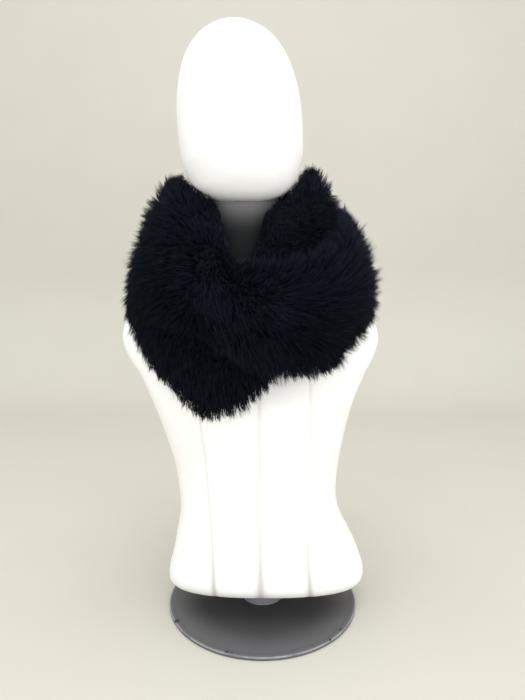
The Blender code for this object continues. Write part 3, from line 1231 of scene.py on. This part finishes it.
@dataclass
class Snood:
    """The cloth tube and its pile, one set of pieces for each stretch that shows."""

    tube: WoundTube
    pile: float = 17 * MM
    cloth_thick: float = 1.2 * MM
    cloth_half: float = 3.0 * MM
    cloth_lift: float = 3.0 * MM
    cloth_sides: int = 28
    cloth_step: float = 3.0
    end_gap: float = 0.06
    flat_samples: int = 60
    girth_share: float = 2.08
    rest_clear: float = 2.0 * MM
    shell_clear: float = 1.0 * MM
    tip_clear: float = 0.4 * MM
    form_cover: float = 5 * MM
    stretch_cover: float = 9 * MM
    hair_half_width: float = 0.30 * MM
    width_range: Span = (0.6, 1.3)
    drift_lean: float = 0.22
    drift_waves: tuple[Span, ...] = ((0.075, 0.55), (0.032, 0.45))
    stray_lean: float = 0.10
    guard_share: float = 0.20
    guard_lean: float = 0.45
    guard_extra: Span = (0.05, 0.32)
    stature: Span = (0.95, 0.08)
    stature_limits: Span = (0.7, 1.1)
    bend_lift: float = 0.62
    bend_sweep: float = 0.30
    bend_pull: float = 0.45
    face_shag: float = 0.50
    shag_edges: Span = (0.50, 0.90)
    shag_flanks: Span = (0.70, 0.95)
    tuft_chance: Span = (2.2, 1.6)
    tufts: tuple[Tufting, ...] = (Tufting(44, 0.40, 0.20), Tufting(8, 0.66, 0.22))
    seed: int = 20

    def build(self) -> list[bpy.types.Object]:
        """Builds every stretch.

        Returns:
            The cloth and the hair pieces.
        """
        form = Walls.of("form_torso", "form_head")
        pile, backing = FurFinish().material(), BackingFinish().material()
        pieces = []
        for order, plan in enumerate(PILE_PLAN):
            stretch = plan.stretch
            cloth = self.cloth(stretch, form)
            cloth.data.materials.append(backing)
            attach(cloth, "root")
            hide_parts(f"snood_{stretch.label}")
            furs = self.fur(plan, form, np.random.default_rng(self.seed + order))
            for fur in furs:
                fur.data.materials.append(pile)
                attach(fur, "root")
            girth, length = self.flat_size(stretch)
            pieces += [cloth, *furs]
            log.info("%s: cloth %.3f x %.3f m, %d hair pieces", stretch.label, girth, length, len(furs))
        return pieces

    def cloth_points(self, turns: Array, around: Array, form: Walls) -> Array:
        """Finds places on the cloth, which lies on the form where it would otherwise sink into it.

        Args:
            turns: Angles of the winding in degrees.
            around: Angles round the cross-section.
            form: The form.

        Returns:
            One point for each pair of angles.
        """
        points = self.tube.skin(turns, around, self.cloth_half, self.pile, self.cloth_lift)
        outer = 0.5 + 0.5 * np.sin(around)
        return form.pushed_out(points, self.rest_clear + 2 * self.cloth_half * outer)

    def flat_size(self, stretch: Stretch) -> tuple[float, float]:
        """Measures the tube that was sewn for a stretch.

        Args:
            stretch: Which stretch of the tube.

        Returns:
            Its girth and its length, in metres.
        """
        count = self.flat_samples
        turns = np.linspace(*stretch.value, count)
        middle = self.tube.skin(turns, np.full(count, math.pi / 2), 0.0, self.pile, self.cloth_lift)
        length = float(np.linalg.norm(np.diff(middle, axis=0), axis=1).sum())
        top = self.tube.skin(turns, np.zeros(count), 0.0, self.pile, 0.0)
        foot = self.tube.skin(turns, np.full(count, math.pi), 0.0, self.pile, 0.0)
        return self.girth_share * float(np.linalg.norm(top - foot, axis=1).mean()), length

    def cloth(self, stretch: Stretch, form: Walls) -> bpy.types.Object:
        """Builds the cloth tube of one stretch, open at the ends where it runs on into the next.

        Args:
            stretch: Which stretch of the tube.
            form: The form that it rests on.

        Returns:
            The piece.
        """
        start, end = stretch.value
        rings = round((end - start) / self.cloth_step) + 1
        turns = np.repeat(np.linspace(start + self.end_gap, end - self.end_gap, rings), self.cloth_sides)
        around = np.tile(np.linspace(0, math.tau, self.cloth_sides, endpoint=False), rings)
        points = self.cloth_points(turns, around, form)
        piece = mesh_object(f"cloth_{stretch.label}", points, ring_faces(rings, self.cloth_sides))
        apply_modifier(piece, "SOLIDIFY", thickness=self.cloth_thick, offset=0.0, use_even_offset=True)
        face_outwards(piece)
        return piece

    def fur(self, plan: PilePlan, form: Walls, rng: np.random.Generator) -> list[bpy.types.Object]:
        """Builds the pile of one stretch.

        Args:
            plan: What pile the stretch gets.
            form: The form, inside which no hair is made.
            rng: The seeded source of chance.

        Returns:
            The hair pieces.
        """
        turns, around = self.seen_roots(plan, form, rng)
        strands = self.strands(turns, around, form, rng)
        pieces = []
        for share, chosen in enumerate(np.array_split(rng.permutation(plan.hairs), plan.shares)):
            suffix = f"_{'abcd'[share]}" if plan.shares > 1 else ""
            pieces.append(strands.some(chosen).piece(f"fur_{plan.stretch.label}{suffix}", rng))
        return pieces

    def seen_roots(self, plan: PilePlan, form: Walls, rng: np.random.Generator) -> tuple[Array, Array]:
        """Draws roots until there are enough whose hair neither the form nor a cover hides.

        Args:
            plan: What pile the stretch gets.
            form: The form.
            rng: The seeded source of chance.

        Returns:
            The roots' angles of the winding and round the cross-section.
        """
        spread = RootSpread(self.tube)
        cover = Walls.of(f"snood_{plan.cover.label}") if plan.cover else None
        kept_turns, kept_around = np.empty(0), np.empty(0)
        while len(kept_turns) < plan.hairs:
            turns, around = spread.draw(plan.stretch, plan.hairs, rng)
            tips = self.tube.shell(turns, around)
            seen = form.depths(tips) < self.form_cover
            if cover:
                seen &= cover.depths(tips) < self.stretch_cover
            kept_turns = np.append(kept_turns, turns[seen])
            kept_around = np.append(kept_around, around[seen])
        return kept_turns[:plan.hairs], kept_around[:plan.hairs]

    def strands(self, turns: Array, around: Array, form: Walls, rng: np.random.Generator) -> Strands:
        """Grows a hair from each root.

        Args:
            turns: The roots' angles of the winding.
            around: Their angles round the cross-section.
            form: The form, inside which no hair is made.
            rng: The seeded source of chance.

        Returns:
            The hairs.
        """
        count = len(turns)
        root = self.cloth_points(turns, around, form)
        shell = self.tube.shell(turns, around)
        reach = form.pushed_out(shell, np.full(count, self.shell_clear)) - root
        pile, stand = np.linalg.norm(reach, axis=1, keepdims=True), unit(reach)
        lean = PileLie(self.tube, self.pile).at(turns, around, shell)
        lean += self.drift_lean * self.drift(shell, rng)
        lean +=self.stray_lean * rng.normal(size=(count, 3))
        lean -= stand * (lean * stand).sum(axis=1, keepdims=True)
        guard = rng.random(count) < self.guard_share
        lean[guard] *= self.guard_lean
        stature = np.clip(rng.normal(*self.stature, count), *self.stature_limits)
        stature = stature + guard * rng.uniform(*self.guard_extra, count)
        stature *= PileGrowth(self.tube).at(turns, around)
        lift, sweep = pile * stature[:, None] * stand, pile * stature[:, None] * lean
        middle = root + self.bend_lift * lift + self.bend_sweep * sweep
        tip = form.pushed_out(root + lift + sweep, np.full(count, self.tip_clear))
        middle, tip = self.tufted(root, middle, tip, self.shagginess(turns, around), rng)
        width = self.hair_half_width * rng.uniform(*self.width_range, count)
        # Each hair's tone is random, plus painted highlight and shade at its place on the snood.
        tone_and_painted_light = np.clip(rng.random(count) + PaintedTipLight(self.tube).at(turns, around, shell), 0, 1)
        return Strands(root, middle, tip, width, tone_and_painted_light)

    def shagginess(self, turns: Array, around: Array) -> Array:
        """How strongly hairs are drawn into tufts, most at the edges and on the snood's flanks."""
        edges = eased(np.abs(self.tube.across(around)), *self.shag_edges)
        flanks = eased(np.abs(np.sin(np.radians(turns))), *self.shag_flanks)
        return self.face_shag + (1 - self.face_shag) * np.maximum(edges, flanks)

    def drift(self, points: Array, rng: np.random.Generator) -> Array:
        """Makes smoothly changing directions, which let neighbouring hairs lie the same way.

        Args:
            points: Where the directions are wanted.
            rng: The seeded source of chance.

        Returns:
            A direction for each point.
        """
        swirl = np.zeros_like(points)
        for wave, share in self.drift_waves:
            ways = unit(rng.normal(size=(3, 3))) * math.tau / wave
            shifts = rng.uniform(0, math.tau, size=3)
            swirl += share * np.sin(points @ ways.T + shifts)
        return swirl

    def tufted(
        self, root: Array, middle: Array, tip: Array, shagginess: Array, rng: np.random.Generator
    ) -> tuple[Array, Array]:
        """Draws hairs together, first into loose locks and then into small pointed tufts of uneven length.

        Args:
            root: Where each hair leaves the cloth.
            middle: Where each hair bends.
            tip: Where each hair ends.
            shagginess: How strongly each hair is drawn, from 0 to 1.
            rng: The seeded source of chance.

        Returns:
            The new middles and tips.
        """
        for hairs, strength, uneven in self.tufts:
            leaders = rng.choice(len(tip), len(tip) // hairs, replace=False)
            tree = KDTree(len(leaders))
            for k, leader in enumerate(leaders):
                tree.insert(middle[leader], k)
            tree.balance()
            nearest = np.array([tree.find(point)[1] for point in middle])
            pull = ((strength * rng.beta(*self.tuft_chance, len(leaders)))[nearest] * shagginess)[:, None]
            chief = leaders[nearest]
            tip = tip + (tip[chief] - tip) * pull
            middle = middle + (middle[chief] - middle) * pull * self.bend_pull
            change = rng.uniform(-uneven, uneven, len(leaders))[nearest] * shagginess
            tip = tip + (tip - root) * change[:, None]
        return middle, tip


# The dress form


class FormRing(NamedTuple):
    """One level ring of the dress form: its middle and sizes in metres, and how square it is."""

    height: float
    middle_x: float
    middle_y: float
    half_width: float
    half_depth: float
    power: float


TORSO_RINGS = (
    FormRing(0.0330, 0.005, 0.003, 0.132, 0.050, 2.6),
    FormRing(0.0350, 0.005, 0.003, 0.143, 0.056, 2.6),
    FormRing(0.0400, 0.005, 0.002, 0.152, 0.065, 2.6),
    FormRing(0.0480, 0.005, 0.001, 0.156, 0.077, 2.5),
    FormRing(0.0580, 0.006, 0.000, 0.157, 0.090, 2.4),
    FormRing(0.0720, 0.006, -0.001, 0.155, 0.100, 2.3),
    FormRing(0.0980, 0.005, -0.001, 0.147, 0.102, 2.3),
    FormRing(0.1250, 0.001, -0.001, 0.138, 0.096, 2.2),
    FormRing(0.1500, -0.003, -0.001, 0.129, 0.089, 2.2),
    FormRing(0.1750, -0.006, -0.001, 0.124, 0.085, 2.2),
    FormRing(0.2050, -0.008, -0.002, 0.124, 0.086, 2.2),
    FormRing(0.2450, -0.009, -0.004, 0.128, 0.090, 2.2),
    FormRing(0.3000, -0.012, -0.011, 0.139, 0.100, 2.2),
    FormRing(0.3450, -0.014, -0.016, 0.151, 0.108, 2.2),
    FormRing(0.3850, -0.015, -0.012, 0.168, 0.104, 2.3),
    FormRing(0.4150, -0.017, -0.006, 0.186, 0.095, 2.4),
    FormRing(0.4400, -0.018, -0.001, 0.193, 0.087, 2.5),
    FormRing(0.4650, -0.019, 0.003, 0.186, 0.080, 2.4),
    FormRing(0.4880, -0.020, 0.007, 0.160, 0.074, 2.2),
    FormRing(0.5080, -0.021, 0.010, 0.126, 0.068, 2.0),
    FormRing(0.5260, -0.022, 0.012, 0.092, 0.062, 2.0),
    FormRing(0.5440, -0.023, 0.011, 0.068, 0.058, 2.0),
    FormRing(0.5640, -0.024, 0.006, 0.056, 0.055, 2.0),
    FormRing(0.6000, -0.026, -0.003, 0.052, 0.053, 2.0),
    FormRing(0.6680, -0.028, -0.014, 0.050, 0.052, 2.0),
)

HEAD_RINGS = (
    FormRing(0.6355, -0.027, -0.060, 0.026, 0.018, 2.0),
    FormRing(0.6380, -0.027, -0.056, 0.040, 0.030, 2.1),
    FormRing(0.6430, -0.027, -0.049, 0.053, 0.046, 2.1),
    FormRing(0.6520, -0.028, -0.041, 0.066, 0.063, 2.1),
    FormRing(0.6660, -0.028, -0.033, 0.076, 0.081, 2.0),
    FormRing(0.6860, -0.029, -0.028, 0.083, 0.095, 2.0),
    FormRing(0.7020, -0.029, -0.026, 0.086, 0.101, 2.0),
    FormRing(0.7220, -0.030, -0.026, 0.087, 0.105, 2.0),
    FormRing(0.7550, -0.032, -0.025, 0.087, 0.107, 2.0),
    FormRing(0.7900, -0.034, -0.023, 0.083, 0.104, 2.0),
    FormRing(0.8250, -0.036, -0.021, 0.073, 0.093, 2.0),
    FormRing(0.8520, -0.037, -0.019, 0.056, 0.072, 2.0),
    FormRing(0.8680, -0.038, -0.018, 0.035, 0.046, 2.0),
    FormRing(0.8740, -0.038, -0.018, 0.015, 0.020, 2.0),
)


def ring_points(rings: Array, angles: Array, swell: Array | float = 0.0) -> Array:
    """Finds points of level rings of the form.

    Args:
        rings: Ring rows, in the order of FormRing's columns.
        angles: Angles round each ring, in radians, 0 towards +X.
        swell: How much larger each place is than the ring, for each ring and angle.

    Returns:
        Points laid ring after ring.
    """
    height, middle_x, middle_y, half_width, half_depth, power = rings.T[:, :, None]
    x, y = superellipse(angles[None, :], power)
    points = [
        middle_x + x * (half_width + swell),
        middle_y + y * (half_depth + swell),
        np.broadcast_to(height, x.shape),
    ]
    return np.stack(points, axis=2).reshape(-1, 3)


def fine_rings(table: Sequence[FormRing], step: float) -> Array:
    """Puts rings on smooth curves through a table's rows.

    Args:
        table: The rings that are known.
        step: About how far apart the new ones are, in metres.

    Returns:
        One row for each ring, with FormRing's columns.
    """
    rows, places = np.array(table), []
    for i, gap in enumerate(np.diff(rows[:, 0])):
        count = max(1, round(gap / step))
        places += [i + k / count for k in range(count)]
    return smooth_between(rows, np.array([*places, len(rows) - 1.0]))


def close_ends(piece: bpy.types.Object, sides: int, sharp_from: float = 55.0) -> None:
    """Closes the first and last ring of a loft, and turns its faces outwards.

    Args:
        piece: The loft, open at both ends.
        sides: How many points each of its rings has.
        sharp_from: From which angle in degrees its edges are sharp.
    """
    shape = bmesh.new()
    shape.from_mesh(piece.data)
    shape.verts.ensure_lookup_table()
    for ring in (shape.verts[:sides], shape.verts[-sides:]):
        shape.faces.new(ring)
    shape.to_mesh(piece.data)
    shape.free()
    face_outwards(piece)
    piece.data.set_sharp_from_angle(angle=math.radians(sharp_from))


class SeamPoint(NamedTuple):
    """One place on an upright seam: its height, and how far it is to the viewer's right of the pole."""

    height: float
    x: float


LEFT_SEAM = (
    SeamPoint(0.050, -0.0720), SeamPoint(0.106, -0.0734), SeamPoint(0.158, -0.0768),
    SeamPoint(0.209, -0.0809), SeamPoint(0.275, -0.0826), SeamPoint(0.440, -0.0950),
)
MIDDLE_SEAM = (SeamPoint(0.050, -0.0030), SeamPoint(0.200, -0.0036), SeamPoint(0.440, -0.0060))
RIGHT_SEAM = (
    SeamPoint(0.050, 0.0722), SeamPoint(0.106, 0.0683), SeamPoint(0.134, 0.0682),
    SeamPoint(0.190, 0.0699), SeamPoint(0.275, 0.0695), SeamPoint(0.440, 0.0640),
)


@dataclass
class DressForm:
    """The padded torso with its sewn panels, and the smooth head on its neck."""

    ring_step: float = 6 * MM
    sides: int = 104
    front_seams: tuple[tuple[SeamPoint, ...], ...] = (LEFT_SEAM, MIDDLE_SEAM, RIGHT_SEAM)
    seam_columns: tuple[float, ...] = (-4.4, -3.2, -2.2, -1.4, -0.7, 0.0, 0.7, 1.4, 2.2, 3.2, 4.4)
    seam_clear: float = 5.6
    anchor_part: int = 5
    seam_top: float = 0.46
    seam_fade: Span = (0.53, 0.04)
    seam_depth: float = 1.6 * MM
    seam_half_width: float = 2.0 * MM
    seam_low: Span = (0.18, 0.11)
    seam_spread: float = 1.1
    seam_flattening: float = 0.55
    pucker: float = 0.22
    pucker_away: float = 2.4
    pole_radius: float = 12.8 * MM
    socket_depth: float = 60 * MM
    head_sides: int = 96
    head_step: float = 5 * MM
    head_sharp_from: float = 50.0
    neck_gap: float = 0.3 * MM

    def build(self) -> list[bpy.types.Object]:
        """Builds the torso and the head.

        Returns:
            Both pieces.
        """
        torso, head = self.torso(), self.head()
        torso.data.materials.append(JerseyFinish().material())
        head.data.materials.append(HeadFinish().material())
        for piece, node, slot in ((torso, "form_torso", "white_jersey"), (head, "form_head", "white_head")):
            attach(piece, "root")
            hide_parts(node)
            log.info("%s: %d faces", piece.name, len(piece.data.polygons))
        return [torso, head]

    def seam_angles(self, ring: Array) -> Array:
        """Finds where each seam crosses a ring: one on each side, three in front and three behind.

        Args:
            ring: One row with FormRing's columns.

        Returns:
            The angles in radians, in order.
        """
        height, middle_x, _, half_width, _, power = ring
        angles = [0.0, math.pi]
        for seam in self.front_seams:
            points = np.array(seam)
            share = (np.interp(height, points[:, 0], points[:, 1]) - middle_x) / half_width
            angle = math.acos(math.copysign(abs(share) ** (power / 2), share))
            angles += [angle, math.tau - angle]
        return np.sort(angles)

    def from_seam(self, angles: Array, seams: Array) -> Array:
        """How far each angle is from the nearest seam, in radians."""
        gaps = np.abs((angles[:, None] - seams[None, :] + math.pi) % math.tau - math.pi)
        return gaps.min(axis=1)

    def columns(self, seams: Array) -> Array:
        """Spreads a ring's points, with close-set ones on each seam.

        Args:
            seams: The seams' angles.

        Returns:
            The points' angles, in order.
        """
        plain = np.linspace(0, math.tau, self.sides, endpoint=False)
        clear = plain[self.from_seam(plain, seams) > math.radians(self.seam_clear)]
        close = (seams[:, None] + np.radians(self.seam_columns)[None, :]).ravel() % math.tau
        return np.sort(np.concatenate([clear, close]))

    def seam_relief(self, ring: Array, from_seam: Array) -> tuple[Array, Array]:
        """Sinks a ring at its seams and puckers the cloth beside them.

        Args:
            ring: One row with FormRing's columns.
            from_seam: How far each of its points is from the nearest seam, in radians.

        Returns:
            How much each point is moved out, in metres, and how near it is to a seam, from 0 to 1.
        """
        height, _, _, half_width, half_depth, _ = ring
        bands = (self.seam_low, self.seam_fade)
        low, fade = [min(max((start - height) / length, 0.0), 1.0) for start, length in bands]
        span = from_seam * (half_width + half_depth) / 2
        width = self.seam_half_width * (1 + self.seam_spread * low)
        nearness = np.exp(-((span / width) ** 2))
        pucker = self.pucker * (1 - low) * np.exp(-(((span - self.pucker_away * width) / width) ** 2))
        depth = self.seam_depth * (1 - self.seam_flattening * low) * fade
        return depth * (pucker - nearness), nearness * fade

    def torso(self) -> bpy.types.Object:
        """Builds the torso: a loft through its rings, with the pole's socket below.

        Returns:
            The piece.
        """
        rings = fine_rings(TORSO_RINGS, self.ring_step)
        anchors = self.seam_angles(rings[len(rings) // self.anchor_part])
        base = self.columns(anchors)
        lap = np.array([math.tau])
        points, marks = [], []
        for ring in rings:
            seams = self.seam_angles(ring) if ring[0] < self.seam_top else seams
            angles = np.interp(base, np.concatenate([anchors, lap]), np.concatenate([seams, lap]))
            swell, mark = self.seam_relief(ring, self.from_seam(angles, seams))
            points.append(ring_points(ring[None, :], angles, swell))
            marks.append(mark)
        sides, low = len(base), rings[0][0]
        circle = np.stack([np.cos(base) * self.pole_radius, np.sin(base) * self.pole_radius], axis=1)
        socket = [np.column_stack([circle, np.full(sides, z)]) for z in (low + self.socket_depth, low)]
        layers = np.concatenate([*socket, *points])
        piece = mesh_object("torso_in_jersey", layers, ring_faces(len(rings) + 2, sides))
        carry(piece.data, "seam", np.concatenate([np.zeros(2 * sides), *marks]))
        close_ends(piece, sides)
        return piece

    def head(self) -> bpy.types.Object:
        """Builds the head, with a socket in its underside that the neck stands in.

        Returns:
            The piece.
        """
        piece = self.head_loft("smooth_head", HEAD_RINGS, self.head_step, 0.0)
        neck = self.head_loft("neck_cutter", TORSO_RINGS[-3:], self.ring_step, self.neck_gap)
        apply_modifier(piece, "BOOLEAN", operation="DIFFERENCE", solver="EXACT", object=neck)
        bpy.data.objects.remove(neck)
        self.drop_crumbs(piece)
        shade_smooth(piece, self.head_sharp_from)
        return piece

    def head_loft(
        self, name: str, table: Sequence[FormRing], step: float, swell: float
    ) -> bpy.types.Object:
        """Builds a closed loft with as many sides as the head has.

        Args:
            name: The piece's name.
            table: The rings that it goes through.
            step: About how far apart its rings are, in metres.
            swell: How much larger it is than its rings, in metres.

        Returns:
            The piece.
        """
        angles = np.linspace(0, math.tau, self.head_sides, endpoint=False)
        rings = fine_rings(table, step)
        faces = ring_faces(len(rings), self.head_sides)
        piece = mesh_object(name, ring_points(rings, angles, swell), faces)
        close_ends(piece, self.head_sides)
        return piece

    def drop_crumbs(self, piece: bpy.types.Object) -> None:
        """Keeps only the largest separate body of a piece that was cut.

        Args:
            piece: The piece.
        """
        make_active(piece)
        bpy.ops.object.mode_set(mode="EDIT")
        bpy.ops.mesh.select_all(action="SELECT")
        bpy.ops.mesh.separate(type="LOOSE")
        bpy.ops.object.mode_set(mode="OBJECT")
        bodies = sorted(bpy.context.selected_objects, key=lambda body: len(body.data.polygons))
        keep = bodies[-1].data
        for body in bodies:
            if body is not piece and body.data is not keep:
                bpy.data.objects.remove(body)
        if piece.data is not keep:
            piece.data = keep


# The stand


CHIPS = (
    Chip((-0.1319, -0.0683, 5.5 * MM), 4.2 * MM),
    Chip((-0.0505, -0.1394, 5.5 * MM), 2.3 * MM),
    Chip((-0.0440, -0.1404, 5.5 * MM), 1.9 * MM),
    Chip((0.1168, -0.0892, 5.5 * MM), 2.4 * MM),
    Chip((0.0990, -0.1125, 5.5 * MM), 2.3 * MM),
)


@dataclass
class Stand:
    """The round painted base, with its collar and short pole."""

    radius: float = 0.152
    rim_height: float = 5.0 * MM
    crown_height: float = 9.0 * MM
    crown_share: float = 0.93
    crown_rings: int = 9
    lip: tuple[Span, ...] = ((0.955, 0.1 * MM), (0.972, 0.8 * MM))
    corner: float = 1.5 * MM
    corner_rings: int = 6
    steps: int = 144
    sharp_from: float = 50.0
    base_paint: Colour = (0.108, 0.109, 0.116)
    collar_paint: Colour = (0.255, 0.250, 0.275)
    pole_paint: Colour = (0.28, 0.28, 0.29)
    pole_roughness: float = 0.35

    def build(self) -> list[bpy.types.Object]:
        """Builds the base and dresses the collar and the pole.

        Returns:
            The base alone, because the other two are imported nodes.
        """
        base = self.base()
        paint = PaintedSteelFinish("dark_grey_paint", self.base_paint, rim_radius=self.radius, chips=CHIPS)
        base.data.materials.append(paint.material())
        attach(base, "root")
        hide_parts("form_base")
        dress = {
            "form_flange": PaintedSteelFinish("grey_collar_paint", self.collar_paint),
            "form_pole": PaintedSteelFinish("pole_paint", self.pole_paint, roughness=self.pole_roughness),
        }
        for node, finish in dress.items():
            self.redress(frame["nodes"][node], finish.material())
        log.info("%s: %d faces", base.name, len(base.data.polygons))
        return [base]

    def redress(self, node: bpy.types.Object, finish: bpy.types.Material) -> None:
        """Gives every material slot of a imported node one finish."""
        for slot in node.material_slots:
            slot.material = finish

    def profile(self) -> list[Span]:
        """Draws half of the base's upright section, crowned above and flat below.

        Returns:
            Distances from the axis and heights, from the top of the crown round to the underside.
        """
        radius, corner, rim = self.radius, self.corner, self.rim_height
        crown = [
            (radius * self.crown_share * t, rim + (self.crown_height - rim) * (1 - t * t))
            for t in np.linspace(0, 1, self.crown_rings)
        ]
        lip = [(radius * share, rim + rise) for share, rise in self.lip]
        rolled = [
            (radius - corner + corner * math.sin(a), rim - corner * (1 - math.cos(a)))
            for a in np.linspace(0, math.pi / 2, self.corner_rings)
        ]
        under = [(radius, corner / 2), (radius - corner / 2, 0.0), (0.0, 0.0)]
        return [*crown, *lip, *rolled, *under]

    def base(self) -> bpy.types.Object:
        """Builds the base: its profile spun round the upright axis.

        Returns:
            The piece.
        """
        profile = self.profile()
        mesh = bpy.data.meshes.new("painted_base")
        edges = [(i, i + 1) for i in range(len(profile) - 1)]
        mesh.from_pydata([(r, 0.0, z) for r, z in profile], edges, [])
        piece = in_scene("painted_base", mesh)
        make_active(piece)
        bpy.ops.object.mode_set(mode="EDIT")
        bpy.ops.mesh.select_all(action="SELECT")
        bpy.ops.mesh.spin(steps=self.steps, angle=math.tau, center=(0, 0, 0), axis=(0, 0, 1))
        bpy.ops.mesh.select_all(action="SELECT")
        bpy.ops.mesh.remove_doubles(threshold=WELD)
        bpy.ops.object.mode_set(mode="OBJECT")
        face_outwards(piece)
        shade_smooth(piece, self.sharp_from)
        return piece


# The studio


class Lamp(NamedTuple):
    """One square area lamp: where it hangs, what it points at, its size and its power."""

    name: str
    place: Point
    aim: Point
    size: float
    power: float


LAMPS = (
    Lamp("overhead", (0.0, -0.5, 2.3), (0.0, 0.0, 0.4), 1.6, 25.0),
    Lamp("front", (0.35, -2.2, 0.60), (0.0, 0.0, 0.50), 1.4, 16.0),
)


@dataclass
class Studio:
    """The plain floor, the soft lights and the camera."""

    camera_height: float = 0.57
    camera_back: float = 0.895
    pitch: float = 9.68
    focal_pixels: float = 590.0
    frame_height: float = 700.0
    sensor: float = 36.0
    room_light: float = 1.06
    backdrop_turn: float = 0.5
    backdrop_start: float = 0.1
    backdrop_steps: int = 12
    backdrop_back: float = 1.6
    floor_reach: float = 4.0

    def build(self) -> None:
        """Sets up everything that isn't part of the object."""
        self.floor()
        self.room()
        for row in LAMPS:
            self.lamp(row)
        self.camera()

    def floor(self) -> None:
        """Lays a wide pale floor that curves up into a backdrop."""
        turn, back, reach = self.backdrop_turn, self.backdrop_back, self.floor_reach
        profile = [(-reach, 0.0), (back - turn, 0.0)]
        for a in np.linspace(self.backdrop_start, math.pi / 2, self.backdrop_steps):
            profile.append((back - turn + turn * math.sin(a), turn - turn * math.cos(a)))
        profile.append((back, reach))
        points = [(x, y, z) for y, z in profile for x in (-reach, reach)]
        faces = [(2 * i, 2 * i + 1, 2 * i + 3, 2 * i + 2) for i in range(len(profile) - 1)]
        sweep = mesh_object("studio_floor", np.array(points), faces)
        sweep.data.materials.append(StudioFinish().material())

    def room(self) -> None:
        """Fills the room with bright even light."""
        world = bpy.data.worlds.new("pale_room")
        world.use_nodes = True
        room = world.node_tree.nodes["Background"]
        room.inputs["Color"].default_value = (1.0, 1.0, 1.0, 1.0)
        room.inputs["Strength"].default_value = self.room_light
        bpy.context.scene.world = world

    def lamp(self, row: Lamp) -> None:
        """Hangs one lamp.

        Args:
            row: The lamp.
        """
        data = bpy.data.lights.new(row.name, "AREA")
        data.size = row.size
        data.energy = row.power
        lamp = in_scene(row.name, data)
        lamp.location = row.place
        lamp.rotation_euler = (Vector(row.aim) - Vector(row.place)).to_track_quat("-Z", "Y").to_euler()

    def camera(self) -> None:
        """Puts the camera at the height, distance and tilt that the photo gives."""
        data = bpy.data.cameras.new("camera")
        data.sensor_width = self.sensor
        data.lens = self.focal_pixels / self.frame_height * data.sensor_width
        camera = in_scene("camera", data)
        camera.location = (0.0, -self.camera_back, self.camera_height)
        camera.rotation_euler = (math.radians(90 - self.pitch), 0.0, 0.0)
        bpy.context.scene.camera = camera


def plain(box: Sequence[Sequence[float]]) -> list[list[float]]:
    """A box's two corners as plain lists of numbers."""
    return [[float(value) for value in corner] for corner in box]


def main() -> None:
    """Dresses the stand, the form and the snood, and sets up the studio."""
    logging.basicConfig(level=logging.INFO, format="%(name)s: %(message)s")
    builders: tuple[Callable[[], list[bpy.types.Object]], ...] = (
        Stand().build,
        DressForm().build,
        Snood(WoundTube()).build,
    )
    for build in builders:
        for piece in build():
            log.info("made %s", piece.name)
    Studio().build()
    bpy.context.scene.view_settings.view_transform = "Standard"


if __name__ == "__main__":
    main()
